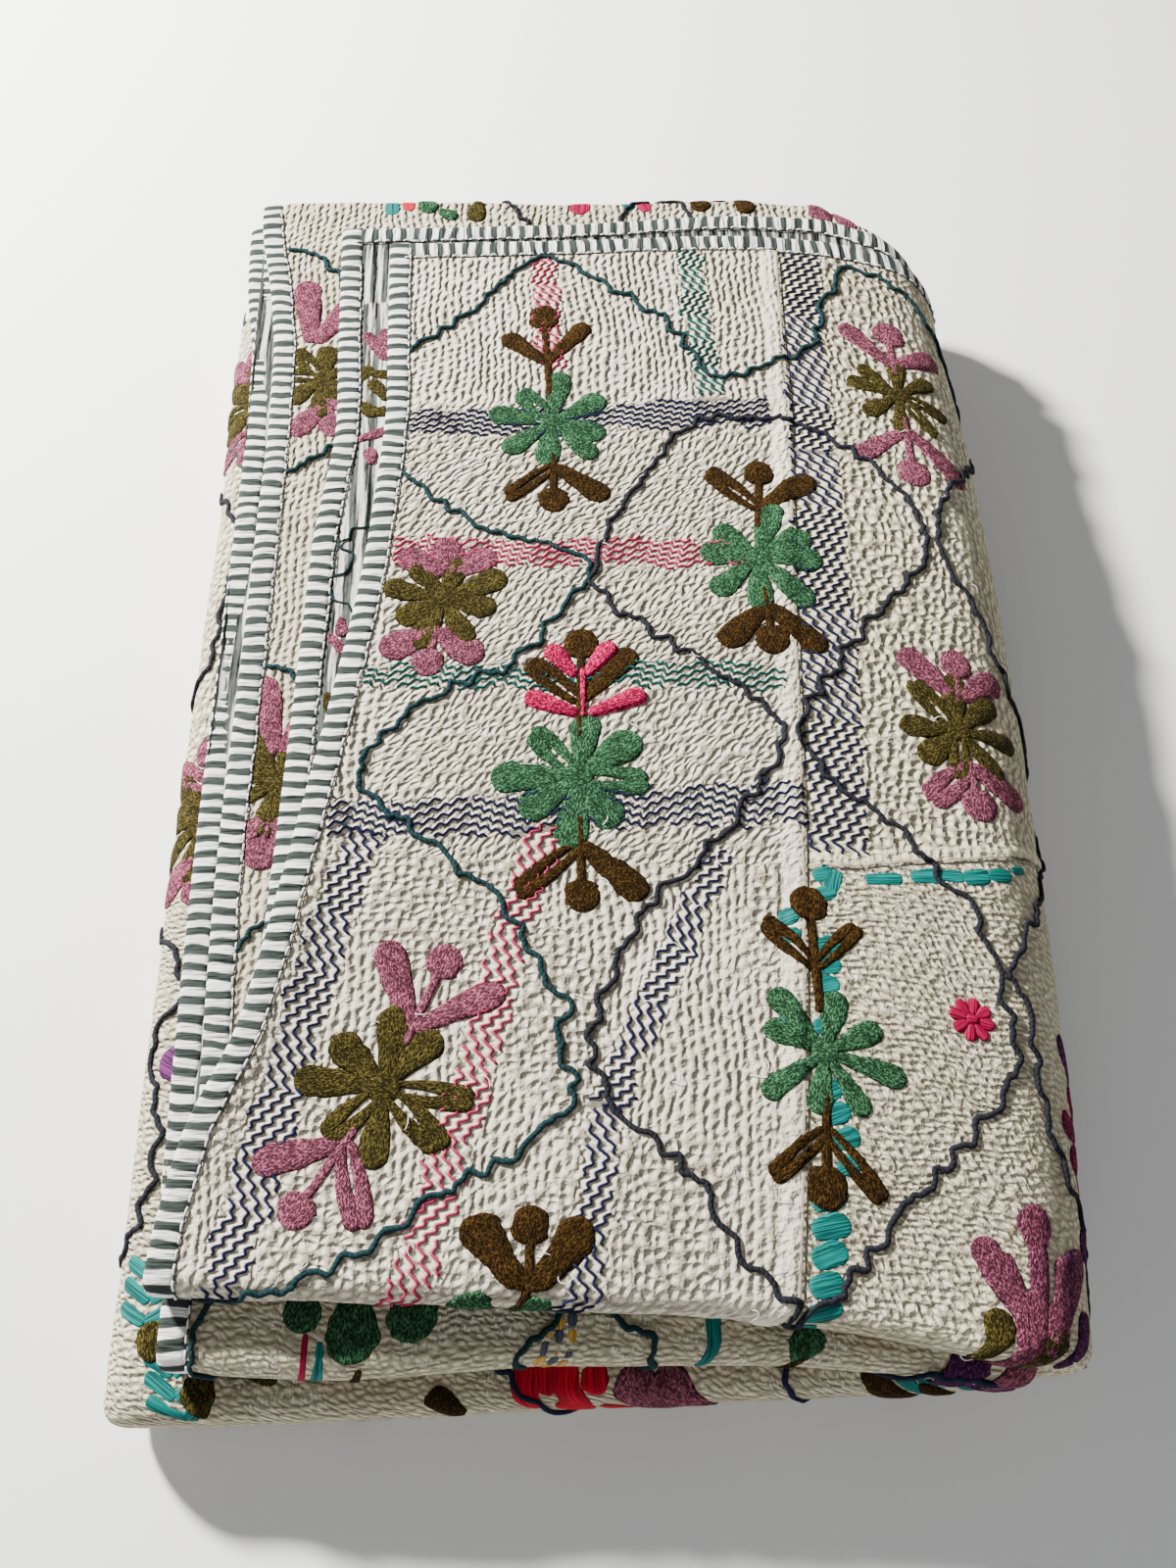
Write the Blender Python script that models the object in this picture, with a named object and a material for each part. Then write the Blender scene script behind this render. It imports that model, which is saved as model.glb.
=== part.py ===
"""A hand-quilted cotton bed cover, folded for the shelf: in half and half again along its length,
then in half and half again across its width, which makes sixteen layers.

The cloth is one closed solid that runs back and forth through all its layers. A striped binding
wraps each of its four edges, as a channel of its own.

Units are metres, +Z is up. The stack lies flat on z = 0 and is centred on x = 0, y = 0.
The front, where the loose nose of every panel shows, is at -Y, and the open side is at -X.
"""

import bpy
import numpy as np

# ---------------------------------------------------------------- driving dimensions
CLOTH_HALF = 0.0020          # half the thickness of the quilted cloth
HEM_HALF = 0.0010            # half its thickness where the binding presses it flat
LAYER_PITCH = 0.0050         # from one layer of a panel to the next
PANEL_PITCH = 0.0210         # from one panel, of four layers, to the next
RIGHT_BEND_X = 0.166         # centre of the big bend on the right
LEFT_BEND_X = -0.184         # centre of the small bend on the left
LENGTH_RUN = 0.590           # usual straight run between the front and back bends

BINDING_WIDTH = 0.0110       # how far a binding reaches in over the cloth
BINDING_WALL = 0.0007        # the binding comes out flush with the full cloth
CLEARANCE = 0.0003           # between a binding and the cloth in it
BINDING_ROUND = 0.0007       # how far its outer corners are rounded off
HEM_REACH = 0.0140           # the cloth is pressed flat this far in from its edge
HEM_STEP = 0.0165            # and has its full thickness from here on
CORNER_GAP = 0.0120          # an end binding starts this far in from the side edge

HILL_HEIGHT = 0.020          # share by which the stack's height swells and dips
HILL_LENGTHS = (0.31, 0.23)  # wavelengths of those swells along x and y
HILL_PHASE = 1.0             # of the swells along x, in radians

MM = 0.001                   # the tables below are in millimetres
SHARP_ANGLE = 50             # edges sharper than this, in degrees, aren't shaded smooth

# Cells along a straight run and around each bend. The three bends come in this order:
# the wide one that goes around all the others, the far one, and the innermost one.
LENGTHWISE_CELLS = {"run": 6, "bends": (6, 4, 4)}
CROSSWISE_CELLS = {"run": 7, "bends": (8, 5, 5)}

# Cloth folded in half and half again has its four runs at these levels, in pitches.
RUN_LEVELS = (1.5, -1.5, -0.5, 0.5)

# Where the bends and the two end edges of the lengthwise fold lie, in millimetres of y, at
# places across the quilt. "run" counts the crosswise runs from the top of the stack's outer
# layer: 0 top, 1 bottom, 2 second from below, 3 second from above, and half a number more for
# the bend after that run. "share" goes from 0 to 1 along the run or the bend.
FOLD_PLACES = (
    # run, share, front, back, head, foot
    (0, 0.00, 15, 605, 564, 580),
    (0, 0.50, 10, 607, 567, 586),
    (0, 0.78, 4, 608, 571, 593),
    (0, 0.92, -4, 604, 567, 590),
    (0, 1.00, -9, 588, 560, 580),
    (0.5, 0.50, -12, 566, 546, 560),
    (1, 0.00, -14, 568, 546, 562),
    (1, 0.50, -21, 598, 560, 580),
    (1, 1.00, -31, 601, 565, 583),
    (1.5, 0.50, -31, 601, 565, 583),
    (2, 0.00, -31, 601, 565, 583),
    (2, 0.30, -28, 602, 565, 583),
    (2, 0.60, -23, 602, 565, 583),
    (2, 0.90, -19, 588, 557, 573),
    (2, 1.00, -17, 584, 555, 570),
    (2.5, 0.50, -17, 584, 555, 570),
    (3, 0.00, -17, 584, 555, 570),
    (3, 0.20, -9, 598, 560, 580),
    (3, 0.50, -9, 603, 566, 584),
    (3, 0.75, -14, 603, 566, 584),
    (3, 1.00, -11, 600, 566, 584),
)

# Where the two long edges of the quilt lie, in millimetres of x. "run" counts the lengthwise
# runs in the order of the cloth: 0 is the uppermost, 3 the one below it. "share" goes from 0
# to 1 along that run.
EDGE_PLACES = (
    # run, share, left edge, right edge
    (0, 0.00, -106, -176),
    (0, 0.18, -104, -175),
    (0, 0.36, -109, -174),
    (0, 0.54, -121, -174),
    (0, 0.72, -136, -174),
    (0, 0.82, -147, -173),
    (0, 0.91, -166, -173),
    (0, 1.00, -175, -173),
    (1, 0.00, -176, -173),
    (1, 0.40, -180, -175),
    (1, 0.80, -181, -180),
    (1, 0.93, -182, -191),
    (1, 1.00, -184, -193),
    (2, 0.00, -184, -191),
    (2, 0.12, -173, -181),
    (2, 0.20, -168, -176),
    (2, 0.60, -168, -173),
    (2, 1.00, -160, -170),
    (3, 0.00, -157, -169),
    (3, 0.25, -142, -171),
    (3, 0.60, -138, -174),
    (3, 0.75, -131, -175),
    (3, 1.00, -135, -176),
)

# How far the stack's left and right bends lean out, in millimetres of x, along its length.
LEAN_PLACES = (
    # y, left, right
    (-30, 5, -6),
    (100, 2, 2),
    (300, -1, 6),
    (430, -2, 2),
    (500, -5, -3),
    (600, -6, -8),
)

CENTRE = (0.0021, 0.2860)    # of the stack's box in plan, before it is moved to the origin

CREAM = (0.74, 0.69, 0.61)
STRIPED = (0.62, 0.63, 0.62)


# ---------------------------------------------------------------- curves through places
def smooth_through(where, values, at):
    """The values at every number in at: a cubic from place to place, whose slope at a place is
    the harmonic mean of the slopes beside it, and none where the values turn round."""
    where, values = np.asarray(where, float), np.asarray(values, float)
    gap = np.diff(where)
    rise = np.diff(values) / gap
    product, total = rise[:-1] * rise[1:], rise[:-1] + rise[1:]
    inner = np.where(product > 0, 2 * product / np.where(product > 0, total, 1.0), 0.0)
    slope = np.concatenate([rise[:1], inner, rise[-1:]])
    at = np.clip(at, where[0], where[-1])
    k = np.clip(np.searchsorted(where, at) - 1, 0, len(where) - 2)
    s = (at - where[k]) / gap[k]
    return (
        values[k] * (1 + 2 * s) * (1 - s) ** 2
        + values[k + 1] * s**2 * (3 - 2 * s)
        + gap[k] * s * (1 - s) * (slope[k] * (1 - s) - slope[k + 1] * s)
    )


class Section:
    """Stations along cloth that is folded in half and half again.

    share[i] weighs the four anchors (start, near bend, far bend, end) that station i lies
    between. along and level say where it lies from there: a bend is half a turn about its
    anchor. side is the direction of the cloth's right side, as (along, level). distance is how
    far along the cloth the station lies, if every run has its usual length.
    """

    ANCHORS = (0, 1, 2, 1, 3)

    def __init__(self, cells, pitch, near_side, usual_run):
        self.pitch, self.near_side, self.usual_run = pitch, near_side, usual_run
        self.rows = []
        facing = 1.0
        for run in range(len(RUN_LEVELS)):
            self.add_run(run, cells["run"], facing)
            if run + 1 < len(RUN_LEVELS):
                self.add_bend(run, cells["bends"][run], facing)
            facing = -facing
        share, along, level, side, distance = zip(*self.rows)
        self.share, self.along, self.level = np.array(share), np.array(along), np.array(level)
        self.side, self.distance = np.array(side), np.array(distance)

    def bend_length(self, run):
        """The length of the bend that follows a run."""
        return 0.5 * np.pi * abs(RUN_LEVELS[run] - RUN_LEVELS[run + 1]) * self.pitch

    def distance_to(self, run, share):
        """How far along the cloth a place is. A run that ends in .5 is the bend after it."""
        whole = int(run)
        before = sum(self.usual_run + self.bend_length(k) for k in range(whole))
        if run > whole:
            return before + self.usual_run + share * self.bend_length(whole)
        return before + share * self.usual_run

    def weights(self, run, step):
        weights = np.zeros(4)
        weights[self.ANCHORS[run]] += 1 - step
        weights[self.ANCHORS[run + 1]] += step
        return weights

    def add_run(self, run, cells, facing):
        """A run has even steps. The first and the last one also have a hem, whose stations
        lie at true distances in from the cloth's end."""
        level, side = RUN_LEVELS[run] * self.pitch, (0.0, facing)
        hems = {0: (0.0,), len(RUN_LEVELS) - 1: (1.0,)}.get(run, ())
        rows = [
            (self.weights(run, step), 0.0, level, side, self.distance_to(run, step))
            for step in np.linspace(0, 1, cells + 1)
            if step not in hems
        ]
        for end in hems:
            for reach in (0.0, HEM_REACH, HEM_STEP):
                step = abs(end - reach / self.usual_run)
                along = self.near_side * reach
                row = (self.weights(run, end), along, level, side, self.distance_to(run, step))
                rows.append(row)
        self.rows += sorted(rows, key=lambda row: row[-1])

    def add_bend(self, run, cells, facing):
        """Half a turn about the anchor between this run and the next one."""
        here, there = RUN_LEVELS[run], RUN_LEVELS[run + 1]
        radius, middle = 0.5 * abs(here - there) * self.pitch, 0.5 * (here + there) * self.pitch
        start = np.sign(here - there)
        bulge = self.near_side if self.ANCHORS[run + 1] == 1 else -self.near_side
        for turn in np.linspace(0, 1, cells + 1)[1:-1]:
            arm = np.array((bulge * np.sin(np.pi * turn), start * np.cos(np.pi * turn)))
            along, rise = radius * arm
            side = tuple(facing * start * arm)
            distance = self.distance_to(run + 0.5, turn)
            self.rows.append((self.weights(run, 1.0), along, middle + rise, side, distance))


# ---------------------------------------------------------------- the folded sheet
class FoldedSheet:
    """The quilt's middle surface and its normal at every station of both folds."""

    def __init__(self):
        self.length = Section(LENGTHWISE_CELLS, LAYER_PITCH, -1.0, LENGTH_RUN)
        self.width = Section(CROSSWISE_CELLS, PANEL_PITCH, 1.0, RIGHT_BEND_X - LEFT_BEND_X)
        at = [self.length.distance_to(*place[:2]) for place in EDGE_PLACES]
        self.left, self.right = (
            MM * smooth_through(at, values, self.length.distance)
            for values in list(zip(*EDGE_PLACES))[2:]
        )

    def points(self, offset):
        """Every station's point, offset from the middle surface along its normal.

        The lengthwise section gives y and a height within the panel. The crosswise section
        carries that height along its own normal, and gives x and z."""
        length, width = self.length, self.width
        bends = np.ones_like(self.left)
        x_anchors = np.stack([self.left, RIGHT_BEND_X * bends, LEFT_BEND_X * bends, self.right])
        x = width.share @ x_anchors + width.along[:, None]
        here, at = self.distances_across(x), [width.distance_to(*p[:2]) for p in FOLD_PLACES]
        columns = list(zip(*FOLD_PLACES))[2:]
        front, back, head, foot = (MM * smooth_through(at, c, here) for c in columns)
        y = sum(weight * y for weight, y in zip(length.share.T, (head, front, back, foot)))
        y = y + length.along + offset * length.side[:, 0]
        height = length.level + offset * length.side[:, 1]
        x = x + height * width.side[:, :1]
        z = width.level[:, None] + height * width.side[:, 1:]
        z = z + RUN_LEVELS[0] * (PANEL_PITCH + LAYER_PITCH) + CLOTH_HALF
        return settle(np.stack([x, y, z], axis=-1))

    def distances_across(self, x):
        """How far across the quilt each station lies. On the first and last runs it is read
        from x, so that layers whose side edges differ still nest at the front and back."""
        width = self.width
        at = width.distance[:, None] + 0 * x
        inward = (x - LEFT_BEND_X) / (RIGHT_BEND_X - LEFT_BEND_X)
        last = len(RUN_LEVELS) - 1
        first_end, last_start = width.distance_to(0, 1), width.distance_to(last, 0)
        at = np.where(at < first_end, inward * width.usual_run, at)
        return np.where(at > last_start, last_start + (1 - inward) * width.usual_run, at)


def settle(points):
    """The stack's lean and its soft hills: x moves with both bends of the stack, and height is
    scaled by a gentle swell that is the same for all layers, so the floor stays flat."""
    x, y, z = points[..., 0], points[..., 1], points[..., 2]
    at, *leans = zip(*LEAN_PLACES)
    lean_left, lean_right = (MM * smooth_through(at, lean, y / MM) for lean in leans)
    across = np.clip((x - LEFT_BEND_X) / (RIGHT_BEND_X - LEFT_BEND_X), 0, 1)
    x_settled = x + lean_left * (1 - across) + lean_right * across
    turn_x, turn_y = (2 * np.pi * a / wave for a, wave in zip((x, y), HILL_LENGTHS))
    swell = np.sin(turn_x + HILL_PHASE) * np.sin(turn_y)
    z_settled = z * (1 + HILL_HEIGHT * swell)
    return np.stack([x_settled - CENTRE[0], y - CENTRE[1], z_settled], axis=-1)


def half_thickness(sheet):
    """The cloth is pressed flat under its bindings and full everywhere else."""
    rows = np.full(len(sheet.width.distance), CLOTH_HALF)
    columns = np.full(len(sheet.length.distance), CLOTH_HALF)
    for line in (rows, columns):
        line[:2] = HEM_HALF
        line[-2:] = HEM_HALF
    return np.minimum(rows[:, None], columns[None, :])


# ---------------------------------------------------------------- meshes
def add_object(name, points, faces, material):
    mesh = bpy.data.meshes.new(name)
    mesh.from_pydata(points.reshape(-1, 3).tolist(), [], faces)
    mesh.materials.append(material)
    mesh.shade_smooth()
    mesh.set_sharp_from_angle(angle=np.radians(SHARP_ANGLE))
    made = bpy.data.objects.new(name, mesh)
    bpy.context.scene.collection.objects.link(made)
    return made


def plain_material(name, colour, roughness):
    material = bpy.data.materials.new(name)
    material.use_nodes = True
    shader = material.node_tree.nodes["Principled BSDF"]
    shader.inputs["Base Color"].default_value = (*colour, 1)
    shader.inputs["Roughness"].default_value = roughness
    shader.inputs["Metallic"].default_value = 0.0
    return material


def grid_quads(first, flip):
    """Quads over a grid of point numbers, turned over where flip is set."""
    a, b, c, d = first[:-1, :-1], first[1:, :-1], first[1:, 1:], first[:-1, 1:]
    quads = np.stack([a, b, c, d], axis=-1).reshape(-1, 4)
    return (quads[:, ::-1] if flip else quads).tolist()


def make_cloth(sheet, material):
    """Two faces, each a grid over all the layers, joined by a rim around the edge."""
    half = half_thickness(sheet)
    right_face, wrong_face = sheet.points(half), sheet.points(-half)
    numbers = np.arange(half.size).reshape(half.shape)
    below = numbers + half.size
    rim = np.concatenate(
        [numbers[:-1, 0], numbers[-1, :-1], numbers[:0:-1, -1], numbers[0, :0:-1]]
    )
    rim_next = np.roll(rim, -1)
    rim_quads = np.stack([rim, rim_next, rim_next + half.size, rim + half.size], axis=-1)
    faces = grid_quads(numbers, True) + grid_quads(below, False) + rim_quads.tolist()
    points = np.concatenate([right_face.reshape(-1, 3), wrong_face.reshape(-1, 3)])
    return add_object("quilt", points, faces, material)


def channel_profile():
    """The binding's section as (in from the cloth's edge, up from its middle): a channel that
    the hem sits in, with its two outer corners cut back."""
    inner = HEM_HALF + CLEARANCE
    outer = inner + BINDING_WALL
    back = CLEARANCE + BINDING_WALL
    lower = [
        (BINDING_WIDTH, -inner),
        (BINDING_WIDTH, -outer),
        (BINDING_ROUND - back, -outer),
        (-back, BINDING_ROUND - outer),
    ]
    upper = [(along, -up) for along, up in reversed(lower)]
    return np.array(lower + upper + [(-CLEARANCE, inner), (-CLEARANCE, -inner)])


def unit(vectors):
    return vectors / np.linalg.norm(vectors, axis=-1, keepdims=True)


def make_binding(name, edge, inner, raised, material):
    """The channel carried along an edge of the cloth. At each station of the edge, its section
    lies in the plane of that station's inner point, a little way in on the cloth, and raised
    point, a little way above it."""
    profile = channel_profile()
    forward, across, normal = np.gradient(edge, axis=0), unit(inner - edge), unit(raised - edge)
    rings = (
        edge[:, None]
        + profile[None, :, :1] * across[:, None]
        + profile[None, :, 1:] * normal[:, None]
    )
    stations, corners = rings.shape[:2]
    numbers = np.arange(stations * corners).reshape(stations, corners)
    closed = np.concatenate([numbers, numbers[:, :1]], axis=1)
    turned = np.sum(np.cross(across, normal) * forward) < 0
    caps = [numbers[0].tolist(), numbers[-1][::-1].tolist()]
    faces = grid_quads(closed, turned) + [cap[::-1] if turned else cap for cap in caps]
    return add_object(name, rings, faces, material)


def lengthened(lines, amount):
    """The lines with their two ends moved out along the first of them."""
    first = lines[0]
    before, after = unit(first[0] - first[1]) * amount, unit(first[-1] - first[-2]) * amount
    return [np.concatenate([[a[0] + before], a[1:-1], [a[-1] + after]]) for a in lines]


def shortened(lines):
    """The lines with their two ends moved in to where the side bindings stop, which is on the
    flat stretch before the second station."""
    kept = CORNER_GAP / HEM_REACH
    first = [a[0] + kept * (a[1] - a[0]) for a in lines]
    last = [a[-1] + kept * (a[-2] - a[-1]) for a in lines]
    return [np.concatenate([[f], a[1:-1], [b]]) for f, a, b in zip(first, lines, last)]


def make_bindings(sheet, material):
    """Side bindings run the whole length and cover the corners. End bindings stop short of
    them."""
    middle, raised = sheet.points(np.zeros((1, 1))), sheet.points(np.full((1, 1), HEM_HALF))
    overhang = CLEARANCE + BINDING_WALL
    for name, row, inner in (("binding_side_left", 0, 1), ("binding_side_right", -1, -2)):
        lines = lengthened((middle[row], middle[inner], raised[row]), overhang)
        make_binding(name, *lines, material)
    for name, column, inner in (("binding_end_head", 0, 1), ("binding_end_foot", -1, -2)):
        lines = shortened((middle[:, column], middle[:, inner], raised[:, column]))
        make_binding(name, *lines, material)


def main():
    for old in list(bpy.data.objects):
        bpy.data.objects.remove(old)
    sheet = FoldedSheet()
    make_cloth(sheet, plain_material("quilted_cotton", CREAM, 0.9))
    make_bindings(sheet, plain_material("striped_binding", STRIPED, 0.85))


main()
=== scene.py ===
"""A hand-stitched kantha quilt, folded in four both ways, made from the same folds as its CAD.

Every stitch, petal, yarn and binding is worked out flat, as (u, v, lift): u is the true distance
across the quilt from the left, v the true distance along it from its head end, and lift the height
above the cloth's right side. laid() then carries it through the folds.
"""

import bpy
import numpy as np
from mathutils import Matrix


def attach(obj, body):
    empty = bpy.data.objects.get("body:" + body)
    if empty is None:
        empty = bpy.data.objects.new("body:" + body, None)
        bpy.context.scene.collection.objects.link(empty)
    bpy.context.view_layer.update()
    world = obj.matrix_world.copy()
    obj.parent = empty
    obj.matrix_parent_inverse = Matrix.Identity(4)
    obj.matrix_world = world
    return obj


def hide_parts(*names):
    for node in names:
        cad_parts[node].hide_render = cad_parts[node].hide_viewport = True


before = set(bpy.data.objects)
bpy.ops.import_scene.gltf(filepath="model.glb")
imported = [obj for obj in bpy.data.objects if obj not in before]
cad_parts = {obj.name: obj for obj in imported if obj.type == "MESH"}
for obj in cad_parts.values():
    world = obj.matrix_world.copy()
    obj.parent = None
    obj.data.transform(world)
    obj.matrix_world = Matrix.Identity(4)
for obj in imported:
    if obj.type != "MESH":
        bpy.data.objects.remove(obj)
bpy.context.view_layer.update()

MM = 0.001

# ---------------------------------------------------------------- the folded cloth
CLOTH_HALF, HEM_HALF = 2.0 * MM, 1.0 * MM     # half its thickness, full and under a binding
LAYER_PITCH, PANEL_PITCH = 5.0 * MM, 21.0 * MM
RIGHT_BEND_X, LEFT_BEND_X = 166 * MM, -184 * MM
RUNS_ALONG = (0.557, 0.612, 0.618, 0.590)     # each run's length between its bends
RUN_LEVELS = (1.5, -1.5, -0.5, 0.5)           # each run's height, in pitches from the middle
CENTRE = (2.1 * MM, 286.0 * MM)               # the stack's middle, which goes to the origin
HILL_HEIGHT, HILL_LENGTHS, HILL_PHASE = 0.020, (0.31, 0.23), 1.0

# Where the front and back bends and the two end edges lie, in millimetres of y.
FOLD_PLACES = (
    # run, share, front, back, head, foot
    (0, 0.00, 15, 605, 564, 580),
    (0, 0.50, 10, 607, 567, 586),
    (0, 0.78, 4, 608, 571, 593),
    (0, 0.92, -4, 604, 567, 590),
    (0, 1.00, -9, 588, 560, 580),
    (0.5, 0.50, -12, 566, 546, 560),
    (1, 0.00, -14, 568, 546, 562),
    (1, 0.50, -21, 598, 560, 580),
    (1, 1.00, -31, 601, 565, 583),
    (1.5, 0.50, -31, 601, 565, 583),
    (2, 0.00, -31, 601, 565, 583),
    (2, 0.30, -28, 602, 565, 583),
    (2, 0.60, -23, 602, 565, 583),
    (2, 0.90, -19, 588, 557, 573),
    (2, 1.00, -17, 584, 555, 570),
    (2.5, 0.50, -17, 584, 555, 570),
    (3, 0.00, -17, 584, 555, 570),
    (3, 0.20, -9, 598, 560, 580),
    (3, 0.50, -9, 603, 566, 584),
    (3, 0.75, -14, 603, 566, 584),
    (3, 1.00, -11, 600, 566, 584),
)

# Where the two long edges of the quilt lie, in millimetres of x.
EDGE_PLACES = (
    # run, share, left edge, right edge
    (0, 0.00, -106, -176),
    (0, 0.18, -104, -175),
    (0, 0.36, -109, -174),
    (0, 0.54, -121, -174),
    (0, 0.72, -136, -174),
    (0, 0.82, -147, -173),
    (0, 0.91, -166, -173),
    (0, 1.00, -175, -173),
    (1, 0.00, -176, -173),
    (1, 0.40, -180, -175),
    (1, 0.80, -181, -180),
    (1, 0.93, -182, -191),
    (1, 1.00, -184, -193),
    (2, 0.00, -184, -191),
    (2, 0.12, -173, -181),
    (2, 0.20, -168, -176),
    (2, 0.60, -168, -173),
    (2, 1.00, -160, -170),
    (3, 0.00, -157, -169),
    (3, 0.25, -142, -171),
    (3, 0.60, -138, -174),
    (3, 0.75, -131, -175),
    (3, 1.00, -135, -176),
)

# How far the stack's left and right bends lean out, in millimetres of x.
LEAN_PLACES = (
    # y, left, right
    (-30, 5, -6),
    (100, 2, 2),
    (300, -1, 6),
    (430, -2, 2),
    (500, -5, -3),
    (600, -6, -8),
)


def cubic(values, slope, gap, k, s):
    """A share s of the way from values k to the next, gap away, with these slopes at both."""
    return (
        values[k] * (1 + 2 * s) * (1 - s) ** 2
        + values[k + 1] * s**2 * (3 - 2 * s)
        + gap * s * (1 - s) * (slope[k] * (1 - s) - slope[k + 1] * s)
    )


def distance_along(path):
    """How far along a path each of its points is."""
    return np.concatenate([[0.0], np.cumsum(np.linalg.norm(np.diff(path, axis=0), axis=1))])


def smooth_through(where, values, at):
    """A cubic from place to place, whose slope at a place is the harmonic mean of the slopes
    beside it, and none where the values turn round."""
    where, values = np.asarray(where, float), np.asarray(values, float)
    gap = np.diff(where)
    rise = np.diff(values) / gap
    product, total = rise[:-1] * rise[1:], rise[:-1] + rise[1:]
    inner = np.where(product > 0, 2 * product / np.where(product > 0, total, 1.0), 0.0)
    slope = np.concatenate([rise[:1], inner, rise[-1:]])
    at = np.clip(at, where[0], where[-1])
    k = np.clip(np.searchsorted(where, at) - 1, 0, len(where) - 2)
    return cubic(values, slope, gap[k], k, (at - where[k]) / gap[k])


class Fold:
    """Cloth folded in half and half again, seen edge on: runs 0 to 3, joined by half turns.

    turn is how far the cloth has turned from the middle of a run: a quarter turn at each bend's
    edge, so distance + height * turn is the true distance on a surface height above the middle."""

    ANCHORS = (0, 1, 2, 1, 3)
    QUARTERS = (0, -1, 1, -1, 1, 1, -1, 0)

    def __init__(self, runs, pitch, near_side):
        self.runs, self.pitch, self.near_side = runs, pitch, near_side
        radii = [abs(a - b) * pitch / 2 for a, b in zip(RUN_LEVELS, RUN_LEVELS[1:])]
        self.radii = np.array(radii)
        pieces = [runs[0]]
        for radius, run in zip(radii, runs[1:]):
            pieces += [np.pi * radius, run]
        self.knots = np.concatenate([[0.0], np.cumsum(pieces)])
        self.first_bend, self.last_bend, self.end = self.knots[1], self.knots[-2], self.knots[-1]
        self.last_piece = len(pieces) - 1
        self.turns = np.array(self.QUARTERS) * np.pi / 2

    def place(self, run, share):
        """The distance of a place in a table: a run that ends in .5 is the bend after it."""
        k = int(round(2 * run))
        return self.knots[k] + share * (self.knots[k + 1] - self.knots[k])

    def true_distance(self, distance, height):
        return distance + height * np.interp(distance, self.knots, self.turns)

    def laid(self, true, height):
        """The distance that has this true distance at this height."""
        true, height = np.broadcast_arrays(true, height)
        ends = self.knots + height[..., None] * self.turns
        k = np.clip((true[..., None] >= ends[..., 1:-1]).sum(axis=-1), 0, self.last_piece)
        low = np.take_along_axis(ends, k[..., None], -1)[..., 0]
        high = np.take_along_axis(ends, k[..., None] + 1, -1)[..., 0]
        share = (true - low) / (high - low)
        return self.knots[k] + share * (self.knots[k + 1] - self.knots[k])

    def at(self, distance):
        """For each distance: the two anchors it is between and its share of the way, how far
        along and what level it has from there, and the right side's direction."""
        k = np.clip(np.searchsorted(self.knots, distance, "right") - 1, 0, self.last_piece)
        share = (distance - self.knots[k]) / (self.knots[k + 1] - self.knots[k])
        run, bend = k // 2, k % 2 == 1
        levels, anchors = np.array(RUN_LEVELS), np.array(self.ANCHORS)
        facing = np.where(run % 2 == 0, 1.0, -1.0)
        here, there = levels[run], levels[np.minimum(run + 1, 3)]
        start = np.sign(here - there)
        bulge = np.where(anchors[run + 1] == 1, self.near_side, -self.near_side)
        sine, cosine = bulge * np.sin(np.pi * share), start * np.cos(np.pi * share)
        radius = self.radii[np.minimum(run, 2)]
        along = np.where(bend, radius * sine, 0.0)
        level = np.where(bend, (here + there) * self.pitch / 2 + radius * cosine, here * self.pitch)
        side = (np.where(bend, facing * start * sine, 0.0),
                np.where(bend, facing * start * cosine, facing))
        near, far = anchors[run], anchors[run + 1]
        return np.where(bend, far, near), far, np.where(bend, 0.0, share), along, level, side


ALONG = Fold(RUNS_ALONG, LAYER_PITCH, -1.0)
ACROSS = Fold((RIGHT_BEND_X - LEFT_BEND_X,) * 4, PANEL_PITCH, 1.0)


def edges(v):
    """How far across the quilt its left and right edges lie at v."""
    at = [ALONG.place(*row[:2]) for row in EDGE_PLACES]
    left, right = (MM * smooth_through(at, c, v) for c in list(zip(*EDGE_PLACES))[2:])
    return left - LEFT_BEND_X, ACROSS.last_bend + RIGHT_BEND_X - right


def place(w, v, lift=0.0):
    """The point of the quilt w across and v along, lift off the cloth's middle on its right side.

    The lengthwise fold gives y and a height in the panel, and the crosswise fold carries that
    height along its own normal and gives x and z."""
    w, v, lift = np.broadcast_arrays(*(np.asarray(a, float) for a in (w, v, lift)))
    near, far, share, along, level, side = ACROSS.at(w)
    first, last = w < ACROSS.first_bend, w > ACROSS.last_bend
    anchors = np.array([0.0, RIGHT_BEND_X, LEFT_BEND_X, 0.0])
    x = anchors[near] * (1 - share) + anchors[far] * share + along
    x = np.where(first, LEFT_BEND_X + w, x)
    x = np.where(last, RIGHT_BEND_X - (w - ACROSS.last_bend), x)
    at = [ACROSS.place(*row[:2]) for row in FOLD_PLACES]
    front, back, head, foot = (MM * smooth_through(at, c, w) for c in list(zip(*FOLD_PLACES))[2:])
    y_anchors = np.stack([head, front, back, foot])
    near, far, share, along, height, v_side = ALONG.at(v)
    pick = lambda which: np.take_along_axis(y_anchors, which[None], 0)[0]
    y = pick(near) * (1 - share) + pick(far) * share + along + lift * v_side[0]
    height = height + lift * v_side[1]
    x = x + height * side[0]
    z = level + height * side[1] + RUN_LEVELS[0] * (PANEL_PITCH + LAYER_PITCH) + CLOTH_HALF
    return settle(x, y, z)


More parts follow.
